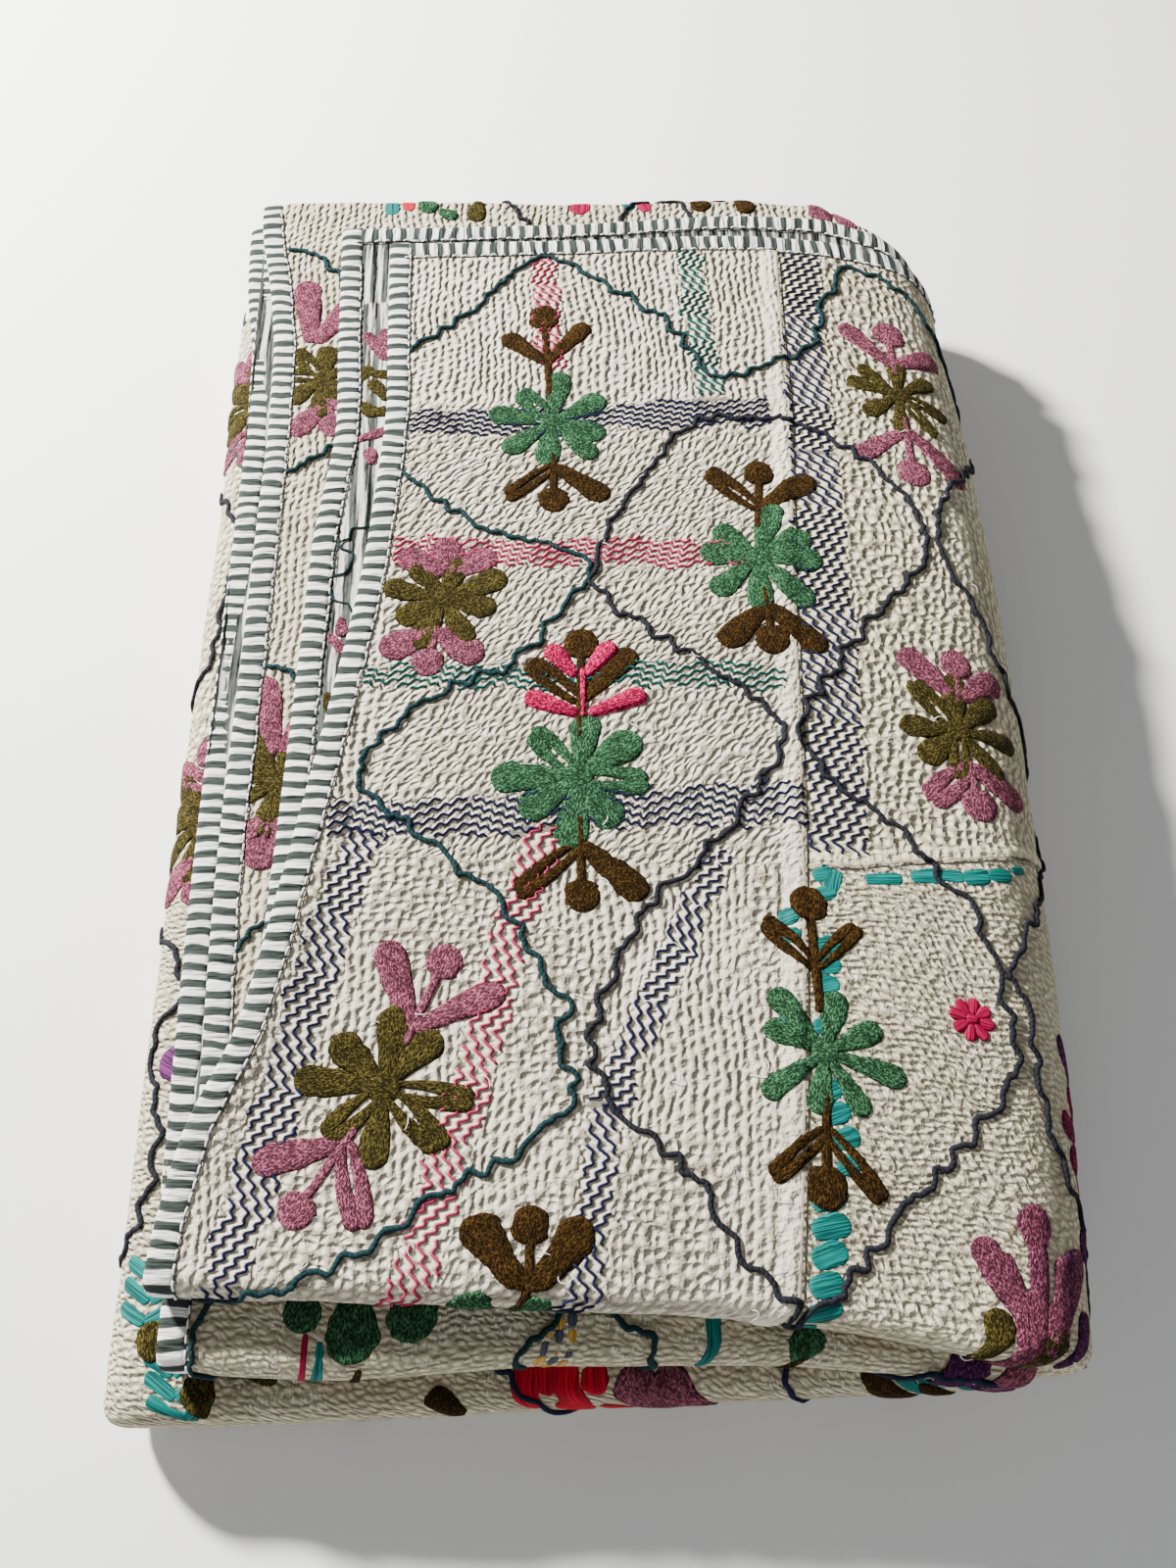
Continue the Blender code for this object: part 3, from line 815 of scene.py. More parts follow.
def make_yarn(name, colour):
    """A two-ply yarn: ridges that wind round it, painted lighter on the plies and darker between
    them as shade, with uneven fuzz.
    """
    finish = Finish(name, 0.9)
    u, v = finish.u, finish.v
    wind = finish.math("SINE", u * (np.pi / PLY_PITCH) + v * (2 * np.pi / 1000.0))
    ply = finish.math("ABSOLUTE", wind)
    fuzz = finish.noise(finish.vector(u, v * 0.01), 1.2, 2.0)
    # Painted shade: the plies lighter on their ridges and darker in the grooves, mixed with fuzz.
    finish.colour(finish.blend(ply * 0.35 + fuzz * 0.65, shaded(colour, 0.45), shaded(colour, 1.5)))
    finish.bump(ply * 0.5 + fuzz, 0.4 * MM)
    return finish.material


def make_thread(name, colour):
    """Thin cotton thread, in slightly uneven shades along it."""
    finish = Finish(name, 0.8)
    shade = finish.noise(finish.vector(finish.u * 0.5, 0.0), 1.0, 2.0)
    finish.colour(finish.blend(shade, shaded(colour, 0.6), shaded(colour, 1.5)))
    return finish.material


def make_stripes():
    """Binding: cotton with grey bars across it, of uneven width and lean."""
    finish = Finish("grey_striped_binding", 0.88)
    u, v = finish.u, finish.v
    waver = finish.noise(finish.vector(u * 0.045, v * 0.06), 1.0, 2.0) - 0.5
    bar = finish.math("SINE", (u + waver * 7.0 + v * 0.05) * (2 * np.pi / BAR_PITCH))
    uneven = finish.noise(finish.vector(u * 0.11, 0.0, 5.0), 1.0, 1.0) - 0.5
    mask = (bar + uneven * 1.4).above(0.0, 0.35)
    grain = finish.noise(finish.vector(u * 2.0, v * 0.4), 1.0, 2.0)
    grey = finish.blend(grain, *STRIPES["grey"])
    white = finish.blend(grain, *STRIPES["white"])
    finish.colour(finish.blend(mask, white, grey))
    pucker = finish.noise(finish.vector(u * 0.38, v * 0.07), 1.0, 2.0)
    finish.bump(pucker + grain * 0.12, 2.6 * MM)
    return finish.material


# ---------------------------------------------------------------- the quilt's cloth
# Cells along each run and bend, finest where the top layer and its bends show.
CELLS_ACROSS = (120, 34, 14, 12, 12, 6, 14)
CELLS_ALONG = (200, 14, 6, 8, 30, 6, 30)
EDGE_EASE = 1.8             # how much closer the last cells across are at the quilt's right edge
HEM_REACH = (0.009, 0.0135)       # the cloth is pressed flat within the first of these of an edge


def stations(fold, cells):
    """Even places along each run and bend of a fold."""
    spans = zip(fold.knots, fold.knots[1:], cells)
    parts = [np.linspace(a, b, n, endpoint=False) for a, b, n in spans]
    return np.concatenate(parts + [fold.knots[-1:]])


def cloth_grid():
    """The folds' own distances (w, v) at every point of the cloth, w from edge to edge."""
    v = stations(ALONG, CELLS_ALONG)
    left, right = edges(v)
    inner = stations(ACROSS, CELLS_ACROSS)
    first, last = ACROSS.first_bend, ACROSS.last_bend
    w = np.broadcast_to(inner[:, None], (len(inner), len(v))).copy()
    start = inner[:, None] <= first
    end = inner[:, None] >= last
    w = np.where(start, left + (first - left) * (inner / first)[:, None], w)
    share = ((inner - last) / (inner[-1] - last))[:, None]
    eased = 1 - (1 - np.clip(share, 0, 1)) ** EDGE_EASE
    w = np.where(end, last + (right - last) * eased, w)
    return w, np.broadcast_to(v, w.shape), left, right


def half_thickness(w, v, left, right):
    """The cloth is full, and pressed flat under its bindings."""
    reach = np.minimum(np.minimum(w - left, right - w), np.minimum(v, ALONG.end - v))
    return HEM_HALF + (CLOTH_HALF - HEM_HALF) * soft_step(*HEM_REACH, reach)


def rim_of(numbers):
    """The numbers round a grid's four sides, in order."""
    return np.concatenate([numbers[:-1, 0], numbers[-1, :-1],
                           numbers[:0:-1, -1], numbers[0, :0:-1]])


def hold(piece, name, columns):
    """Gives a piece's points an attribute of three columns, which its finish reads."""
    values = piece.data.attributes.new(name, "FLOAT_VECTOR", "POINT").data
    values.foreach_set("vector", columns.astype(np.float32).ravel())


def make_quilt(cream, reverse):
    """Two faces that run back and forth through all the layers, joined by a rim. The wrong side
    has half as many stations each way."""
    w, v, left, right = cloth_grid()
    half = half_thickness(w, v, left, right)
    hill = edge_hill(w, v)
    height = ALONG.at(v)[4]
    true = np.stack([ACROSS.true_distance(w, height), ALONG.true_distance(v, CLOTH_HALF)], axis=-1)
    relief = puckers(true[..., 0], true[..., 1]) * soft_step(0.0010, 0.0020, half)
    face = place(w, v, half + hill + relief)
    back = place(w, v, hill - half)[::2, ::2]
    back_true = true[::2, ::2]
    numbers = np.arange(w.size).reshape(w.shape)
    below = w.size + np.arange(back[..., 0].size).reshape(back.shape[:2])
    rim, under = rim_of(numbers), rim_of(below)
    even, odd, following = rim[::2], rim[1::2], np.roll(rim[::2], -1)
    under_next = np.roll(under, -1)
    rim_faces = np.concatenate([
        np.stack([even, odd, under], axis=-1),
        np.stack([odd, under_next, under], axis=-1),
        np.stack([odd, following, under_next], axis=-1),
    ])
    faces = grid_faces(numbers).tolist() + grid_faces(below)[:, ::-1].tolist() + rim_faces.tolist()
    flat = np.concatenate([true.reshape(-1, 2), back_true.reshape(-1, 2)])
    uv = np.concatenate([grid_corners(true).reshape(-1, 2),
                         grid_corners(back_true)[:, ::-1].reshape(-1, 2),
                         flat[rim_faces].reshape(-1, 2)])
    points = np.concatenate([face.reshape(-1, 3), back.reshape(-1, 3)])
    quads = (numbers.shape[0] - 1) * (numbers.shape[1] - 1)
    finish_of = np.zeros(len(faces), int)
    finish_of[quads:quads + (below.shape[0] - 1) * (below.shape[1] - 1)] = 1
    quilt = add_piece("quilt_cloth", points, faces, uv, [cream, reverse], finish_of)
    in_bands = band_fields(flat / MM)
    hold(quilt, "band_place", in_bands[:, :3])
    hold(quilt, "band_zigzag", in_bands[:, 3:])
    from_seams = [flat[:, 0] - seam_across(flat[:, 1]), flat[:, 1] - cross_seam(flat[:, 0])]
    hold(quilt, "from_seams", np.stack([*from_seams, np.zeros(len(flat))], axis=-1) / MM)
    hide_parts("quilt")
    return quilt


# ---------------------------------------------------------------- the bindings
BINDING_WIDTH, BINDING_HALF = 11.0 * MM, 2.2 * MM
SIDE_STATIONS, END_STATIONS = 1060, 640
END_INSET = 10.5 * MM       # the end bindings stop this far in, under those of the sides
BINDING_SEEDS = {"left": 11, "right": 12, "head": 13, "foot": 14}
PUFF_LENGTH = 9 * MM        # two puffs of a binding
PROFILE = (
    # in from the edge and up from the middle, as shares of the width and the half thickness
    (1.00, 0.55), (0.97, 0.82), (0.80, 0.98), (0.50, 1.00), (0.20, 0.92), (0.00, 0.66),
    (-0.08, 0.22), (-0.08, -0.22), (0.00, -0.66), (0.20, -0.92), (0.50, -1.00), (0.80, -0.98),
    (0.97, -0.82), (1.00, -0.55),
)


def unit(vectors):
    return vectors / np.linalg.norm(vectors, axis=-1, keepdims=True)


def edge_line(which, reach, lift):
    """Points this far in from one edge of the quilt and this high, at each station."""
    if which in ("left", "right"):
        v = np.linspace(0, ALONG.end, SIDE_STATIONS)
        left, right = edges(v)
        w = left + reach if which == "left" else right - reach
    else:
        v_edge = 0.0 if which == "head" else ALONG.end
        left, right = (float(e) for e in edges(np.array(v_edge)))
        w = np.linspace(left + END_INSET, right - END_INSET, END_STATIONS)
        v = np.full_like(w, reach if which == "head" else v_edge - reach)
    return place(w, v, edge_hill(w, v) + lift)


def make_binding(which, node, stripes):
    """A puffed strip round the hem, its section carried along the edge in each station's plane."""
    edge = edge_line(which, 0.0, 0.0)
    inner, raised = edge_line(which, 8 * MM, 0.0), edge_line(which, 0.0, 1 * MM)
    across, normal = unit(inner - edge), unit(raised - edge)
    along = distance_along(edge)
    shape = np.array(PROFILE)
    seed = BINDING_SEEDS[which]
    even_puffs = 1 + 0.05 * np.sin(along * (4 * np.pi / PUFF_LENGTH))
    puff = even_puffs + 0.09 * cloth_noise(along, 0, 6 * MM, seed)
    sway = 0.35 * MM * cloth_noise(along, 1, 11 * MM, seed)
    reach = BINDING_WIDTH * shape[None, :, 0] + (sway[:, None] * (shape[None, :, 0] > 0.6))
    rise = BINDING_HALF * shape[None, :, 1] * puff[:, None]
    rings = edge[:, None] + reach[..., None] * across[:, None] + rise[..., None] * normal[:, None]
    stations, sides = rings.shape[:2]
    numbers = np.arange(stations * sides).reshape(stations, sides)
    closed = np.concatenate([numbers, numbers[:, :1]], axis=1)
    forward = np.gradient(edge, axis=0)
    turned = np.sum(np.cross(across, normal) * forward) > 0
    girth = np.linspace(0, 2.6 * BINDING_WIDTH, sides + 1)
    values = np.stack(np.broadcast_arrays(along[:, None], girth[None]), axis=-1)
    quads, corners = grid_faces(closed), grid_corners(values)
    if turned:
        quads, corners = quads[:, ::-1], corners[:, ::-1]
    caps = [numbers[0].tolist(), numbers[-1][::-1].tolist()]
    caps = [cap[::-1] for cap in caps] if turned else caps
    cap_uv = np.concatenate([values[0, :sides], values[-1, :sides]])
    binding = add_piece(f"binding_{which}", rings.reshape(-1, 3), quads.tolist() + caps,
                        np.concatenate([corners.reshape(-1, 2), cap_uv]), [stripes])
    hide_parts(node)
    return binding


# ---------------------------------------------------------------- embroidery, in millimetres
# A spray is an eight-petalled flower with a stem, two leaves and a bud above and below it. Its
# reach is from the flower's middle to the bud's far end, and its lean is to the right. Petals are
# this share of their length broad.
SPRAYS = (
    # flower, leaf, u, v, radius, breadth, upper reach and lean, lower reach and lean, turn
    ("green", "brown", 160, 131, 31, 0.42, 80, -1, 58, 0, 12),
    ("green", "brown", 256, 218, 32, 0.45, 60, 5, 55, 4, 8),
    ("green", "brown", 171, 338, 35, 0.45, 78, 1, 65, 2, 4),
    ("green", "brown", 271, 460, 30, 0.36, 72, -3, 62, -2, 14),
    ("green", "brown", 155, 588, 34, 0.48, 62, 0, 0, 0, 10),
    ("olive", "mauve", 109, 242, 29, 0.46, 36, 0, 44, -10, 14),
    ("olive", "mauve", 95, 481, 35, 0.40, 66, 22, 66, -32, 6),
    ("olive", "mauve", 336, 106, 26, 0.36, 53, 4, 59, 0, 10),
    ("olive", "mauve", 339, 301, 28, 0.43, 44, 4, 45, 8, 5),
    ("olive", "mauve", 44, 1341, 29, 0.46, 0, 0, 44, 10, 8),
    ("olive", "mauve", 40, 1598, 32, 0.46, 0, 0, 46, -6, 15),
    ("olive", "mauve", 842, 78, 28, 0.45, 44, 0, 40, 0, 3),
    ("olive", "mauve", 842, 318, 32, 0.45, 44, 0, 40, 0, 9),
    ("green", "brown", 430, 200, 32, 0.45, 60, 3, 56, 5, 6),
    ("green", "brown", 440, 390, 32, 0.45, 60, -4, 56, 2, 16),
    ("olive", "mauve", 515, 110, 30, 0.45, 48, 6, 46, -8, 7),
    ("olive", "mauve", 515, 330, 30, 0.45, 48, -10, 46, 4, 12),
    ("green", "brown", 600, 215, 32, 0.45, 60, 2, 56, -3, 4),
    ("green", "brown", 600, 445, 32, 0.45, 60, -5, 56, 6, 11),
    ("green", "brown", 690, 110, 32, 0.45, 60, 4, 56, 0, 9),
    ("green", "brown", 690, 335, 32, 0.45, 60, -2, 56, 8, 2),
    ("olive", "mauve", 768, 215, 30, 0.45, 48, 8, 46, -5, 5),
    ("olive", "mauve", 768, 440, 30, 0.45, 48, -6, 46, 10, 13),
    ("magenta", "purple", 398, 474, 27, 0.42, 46, 0, 56, 4, 8),
    ("green", "brown", 100, 1170, 30, 0.45, 56, 0, 0, 0, 5),
    ("green", "brown", 273, 1147, 32, 0.45, 60, 0, 54, 0, 9),
    ("olive", "mauve", 340, 1150, 30, 0.45, 48, 0, 46, 0, 3),
    ("olive", "mauve", 190, 1150, 30, 0.45, 48, 6, 40, 0, 12),
    ("green", "brown", 530, 1188, 28, 0.45, 56, 0, 48, 4, 11),
    ("olive", "mauve", 628, 1180, 30, 0.45, 46, 6, 42, -5, 2),
    ("green", "brown", 728, 1190, 28, 0.45, 54, 0, 48, 0, 14),
)

# Loose petals, leaves, buds and stems.
PADS = (
    # colour, then u, v, angle, length and width of each
    ("pink", (170, 286, -128, 21, 10), (174, 286, -55, 22, 10), (171, 306, -158, 26, 10),
        (175, 306, -22, 28, 10), (173, 308, -90, 26, 3.5)),
    # The tulip is in mauve wool darkened as painted shade.
    ("plum", (350, 524, -90, 18, 15), (350, 556, -124, 42, 13), (349, 562, -112, 40, 10),
        (353, 556, -58, 42, 13), (353, 562, -74, 40, 10), (347, 574, -86, 54, 9),
        (348, 578, -96, 40, 13), (351, 578, -80, 38, 12)),
    ("purple", (362, 547, -80, 26, 7), (364, 566, -62, 26, 10)),
    ("olive", (333, 568, -90, 23, 12), (350, 570, -70, 21, 13)),
    ("mauve", (36, 1314, -97, 50, 17), (38, 1314, -58, 44, 17), (37, 1582, -102, 46, 16),
        (40, 1582, -66, 44, 16)),
    ("green", (96, 1194, 80, 17, 13), (104, 1208, 30, 13, 9)),
    ("brown", (262, 1190, 96, 20, 13), (285, 1193, 80, 19, 12)),
    ("olive", (128, 1200, 95, 18, 12)),
    ("mauve", (330, 1192, 84, 22, 14), (348, 1190, 100, 20, 13)),
    ("olive", (846, 541, -90, 15, 14), (867, 561, -90, 17, 15), (885, 545, 10, 15, 6)),
    ("brown", (151, 557, -124, 32, 15), (159, 557, -56, 32, 15)),
    ("green", (1499, 606, -90, 16, 17), (1479, 606, -90, 27, 22), (1456, 606, -90, 20, 21)),
    ("brown", (1475, 577, -90, 16, 5)),
    ("green", (1301, 574, 90, 15, 15)),
    ("brown", (1301, 566, 92, 12, 5), (967, 552, 90, 14, 15)),
    ("mauve", (1046, 548, 78, 26, 24), (1064, 548, 98, 26, 22)),
    ("brown", (1147, 548, 88, 26, 16), (1165, 560, 84, 12, 12)),
    ("purple", (1236, 566, 80, 22, 18)),
    ("mauve", (1216, 566, 96, 20, 20)),
    ("purple", (1190, 552, 84, 20, 22)),
)

# The backs of sprays, on the quilt's wrong side, by colour.
BACKS = {
    # u, v, angle, length, width
    "mauve": ((75, 2337, -80, 14, 9), (65, 2334, -56, 26, 11), (62, 2253, 22, 20, 8),
        (72, 2236, 100, 12, 8), (62, 2140, -84, 12, 7), (56, 2130, -48, 24, 8),
        (40, 1990, -60, 22, 10), (36, 1920, -110, 22, 11)),
    "olive": ((57, 2292, 52, 20, 9), (58, 2284, -42, 20, 9), (66, 2303, -8, 14, 8),
        (78, 2282, 120, 18, 9), (66, 2273, 4, 14, 8), (58, 2096, -70, 14, 8),
        (44, 1950, -80, 24, 12)),
}

# Couched yarn, through these places.
YARNS = (
    ("teal", (78, 90), (88, 81), (118, 55), (161, 14), (192, 37), (221, 63), (250, 104),
     (272, 95), (295, 81), (311, 39), (326, 18), (350, 26), (372, 45), (398, 92), (424, 118),
     (452, 92), (480, 45), (508, 14)),
    ("teal", (80, 160), (98, 178), (136, 204), (158, 210), (177, 222), (163, 248), (139, 280),
     (110, 294), (76, 341), (103, 368), (141, 403), (159, 434), (168, 447), (163, 459),
     (171, 480), (152, 504), (121, 521), (94, 543), (52, 563), (26, 574)),
    ("charcoal", (275, 131), (234, 132), (203, 169), (182, 210), (178, 230), (209, 265),
     (237, 286), (261, 313), (242, 351), (227, 372), (202, 397), (188, 425), (178, 468),
     (184, 481), (221, 517), (236, 541), (259, 560), (268, 582)),
    ("charcoal", (275, 130), (296, 141), (316, 156), (334, 183), (336, 202), (321, 228),
     (306, 247), (283, 283), (269, 310), (279, 334), (310, 358), (321, 373), (336, 389),
     (343, 418), (347, 453), (327, 483), (299, 518), (277, 546), (264, 562), (270, 582)),
    ("charcoal", (392, 112), (362, 149), (345, 177), (343, 205), (359, 235), (364, 252),
     (388, 285), (398, 318), (384, 350), (370, 379), (351, 409), (356, 439), (358, 462),
     (366, 486), (392, 520), (402, 560)),
    ("teal", (470, 118), (500, 160), (512, 205), (486, 260), (462, 310), (490, 360), (514, 420),
     (488, 480), (464, 530), (480, 580)),
    ("teal", (560, 20), (600, 60), (640, 118), (612, 165), (566, 215), (548, 268), (580, 320),
     (642, 360), (616, 410), (566, 470), (548, 520), (580, 575)),
    ("charcoal", (730, 20), (700, 60), (650, 118), (676, 165), (724, 215), (736, 268),
     (706, 320), (652, 360), (676, 410), (724, 470), (736, 520), (706, 575)),
    ("charcoal", (790, 110), (822, 128), (838, 150), (838, 200), (832, 238), (800, 262),
     (786, 300), (800, 352), (832, 376), (842, 391), (830, 420), (838, 452), (832, 492),
     (800, 520), (790, 560)),
    ("charcoal", (210, 1222), (218, 1206), (232, 1198), (250, 1204), (256, 1222)),
    ("charcoal", (140, 1186), (144, 1200), (154, 1214), (160, 1226)),
    ("teal", (18, 1238), (30, 1243), (50, 1262), (66, 1276)),
    ("teal", (20, 1412), (34, 1407), (48, 1394), (64, 1386)),
    ("teal", (18, 1527), (30, 1531), (46, 1540), (58, 1560)),
    ("teal", (20, 1690), (32, 1680), (44, 1664), (60, 1656)),
    ("teal", (1534, 600), (1541, 590), (1541, 574), (1520, 562), (1490, 560)),
    ("teal", (1396, 597), (1400, 589), (1412, 582), (1408, 566)),
    ("teal", (1380, 597), (1372, 588), (1362, 583), (1356, 566)),
    ("navy", (975, 540), (985, 546), (997, 552), (1004, 562), (1006, 580)),
    ("navy", (1112, 545), (1110, 556), (1106, 570), (1108, 582)),
    ("navy", (1222, 572), (1240, 577), (1252, 574), (1262, 566)),
)

BACK_YARN = ((84, 2206), (70, 2196), (60, 2186), (66, 2172), (54, 2160), (62, 2148), (74, 2140))

# Bands of running stitch. Each is filled with stepped lines of thread that rise across the band
# at this slope for half a zig-zag, then fall.
BANDS = (
    # thread, from u, v, to u, v, width, slope, half length, pitch, phase
    ("navy", 300, 3, 288, 150, 23, 0.80, 62, 5.4, 0.55),
    ("navy", 288, 150, 281, 372, 26, 0.78, 60, 5.6, 0.20),
    ("navy", 80, 133, 270, 126, 18, 0.28, 40, 3.7, 0.10),
    ("navy", 64, 362, 270, 348, 20, 0.42, 25, 4.4, 0.30),
    ("rose", 84, 214, 252, 216, 17, 0.50, 18, 3.8, 0.20),
    ("jade", 74, 286, 264, 285, 14, 0.45, 16, 4.0, 0.70),
    ("jade", 238, 4, 241, 116, 16, 0.62, 18, 4.3, 0.40),
    ("rose", 158, 4, 163, 96, 16, 0.60, 17, 4.3, 0.10),
    ("rose", 157, 362, 107, 570, 18, 0.62, 22, 5.6, 0.80),
    ("navy", 80, 366, 35, 570, 19, 0.66, 26, 5.4, 0.20),
    ("navy", 232, 372, 183, 487, 15, 0.66, 26, 5.2, 0.55),
    ("navy", 183, 487, 175, 570, 15, 0.66, 26, 5.2, 0.10),
    ("jade", 830, 100, 852, 128, 12, 0.45, 16, 4.0, 0.20),
    ("navy", 520, 10, 512, 230, 22, 0.80, 60, 5.4, 0.30),
    ("navy", 465, 380, 690, 372, 19, 0.42, 25, 4.6, 0.20),
    ("rose", 610, 5, 600, 170, 15, 0.80, 18, 3.8, 0.40),
    ("jade", 690, 250, 800, 262, 14, 0.45, 16, 4.0, 0.60),
)

# Couched yarn's steps, how high and how long, and how closely its path is sampled.
WIGGLES, BACK_WIGGLE, YARN_STEP = ((2.5, 19.0), (0.8, 8.5)), (2.4, 13.0), 1.1


def each_row(table):
    """The rows of a table that names a colour once for all the rows that follow it."""
    return [(colour, *row) for colour, *rows in table for row in rows]


def towards(angle):
    """The direction at this many degrees from u towards v."""
    return np.array([np.cos(np.radians(angle)), np.sin(np.radians(angle))])


def line(across, along, rise, rate, phase):
    """How far across, in pitches, a line of thread runs that starts at this share: its long
    zig-zag rise (|2 frac(along rate + phase) - 1| - 1/2), short sine steps, and a slow sway."""
    fold = np.abs(2 * ((along * rate + phase) % 1.0) - 1) - 0.5
    middle = across + rise * fold
    step = np.sin(2 * np.pi * (along / STEP_LENGTH + middle * STEP_SHIFT))
    return middle + STEP_RISE * step + SWAY_RISE * np.sin(along / SWAY_LENGTH + phase * SWAY_PHASE)


def in_band(row, places):
    """How far along and across this band places are, and how far inside it, in millimetres."""
    _, u0, v0, u1, v1, width = row[:6]
    span = np.hypot(u1 - u0, v1 - v0)
    forward = np.array([u1 - u0, v1 - v0]) / span
    from_start = places - [u0, v0]
    along = from_start @ forward
    across = from_start @ [-forward[1], forward[0]]
    inside = np.minimum(width / 2 - np.abs(across), np.minimum(along, span - along))
    return along, across, inside


def band_fields(places):
    """For each place: across (in pitches), along, how far inside, rise, rate and phase of the band
    that it is in or nearest to."""
    best = np.full(len(places), -1e9)
    fields = np.zeros((len(places), 6))
    for row in BANDS:
        slope, half, pitch, phase = row[6:]
        along, across, inside = in_band(row, places)
        here = np.stack(np.broadcast_arrays(across / pitch, along, np.maximum(inside, -9.0),
                                            slope * half / pitch, 0.5 / half, phase), axis=-1)
        nearer = inside > best
        best = np.where(nearer, inside, best)
        fields = np.where(nearer[:, None], here, fields)
    return fields


def curve_through(places, step):
    """A smooth curve through places, sampled at even steps: cubic spans whose slope at a place is
    that of the chord between its neighbours."""
    p = np.array(places, float)
    gaps = np.linalg.norm(np.diff(p, axis=0), axis=1)
    at = distance_along(p)
    where = np.arange(0, at[-1], step)
    k = np.clip(np.searchsorted(at, where, "right") - 1, 0, len(gaps) - 1)
    share = ((where - at[k]) / gaps[k])[:, None]
    return cubic(p, np.gradient(p, at, axis=0), gaps[k][:, None], k, share)


def wander(path, height, length, seed):
    """The path with small uneven steps to either side of it."""
    forward = unit(np.gradient(path, axis=0))
    left = np.stack([-forward[:, 1], forward[:, 0]], axis=-1)
    at = distance_along(path)
    drift = cloth_noise(at, seed, 1.3 * length, 21)
    swing = np.arcsin(0.96 * np.sin(2 * np.pi * at / length + 3.4 * drift)) / 1.3
    swing = swing * (0.7 + 0.6 * cloth_noise(at, seed, 2.3 * length, 22))
    return path + (height * swing)[:, None] * left


YARN_RADIUS, BACK_YARN_RADIUS = 1.22 * MM, 0.6 * MM
YARN_LIFT, BACK_YARN_LIFT = 0.75 * MM, 0.35 * MM


def make_yarns(finishes):
    """Couched yarns that lie on the cloth in small uneven steps, gathered by colour."""
    work = {colour: Needlework() for colour in finishes}
    for seed, (colour, *places) in enumerate(YARNS):
        path = curve_through(places, YARN_STEP)
        for height, length in WIGGLES:
            path = wander(path, height, length, seed)
        path = path * MM
        lift = YARN_LIFT + 0.25 * MM * cloth_noise(path[:, 0], path[:, 1], 5 * MM, 23)
        full = np.concatenate([path, lift[:, None]], axis=1)
        thick = YARN_RADIUS * (1 + 0.12 * cloth_noise(path[:, 0], path[:, 1], 4 * MM, 24))
        work[colour].add_thread(full, thick, sides=8, squash=0.8)
    for colour, needlework in work.items():
        if needlework.count:
            needlework.finish(f"couched_yarn_{colour}", finishes[colour])
    back = Needlework(wrong_side=True)
    path = wander(curve_through(BACK_YARN, YARN_STEP), *BACK_WIGGLE, 40) * MM
    lift = BACK_YARN_LIFT + 0 * path[:, :1]
    back.add_thread(np.concatenate([path, lift], axis=1), BACK_YARN_RADIUS, sides=6)
    back.finish("couching_back_teal", finishes["teal"])


PETALS = 8
# A stem starts this share of the flower's radius from its middle.
BUD_SIZES, STEM_START, STEM_WIDTH = (14.5, 17.0), 0.55, 4.0
SLIT_LEAVES, SLIT_PETALS = 0.3, 0.15         # the shares of them that are two narrow pads
PAD_HEIGHT, PINK_HEIGHT = 1.1 * MM, 1.9 * MM


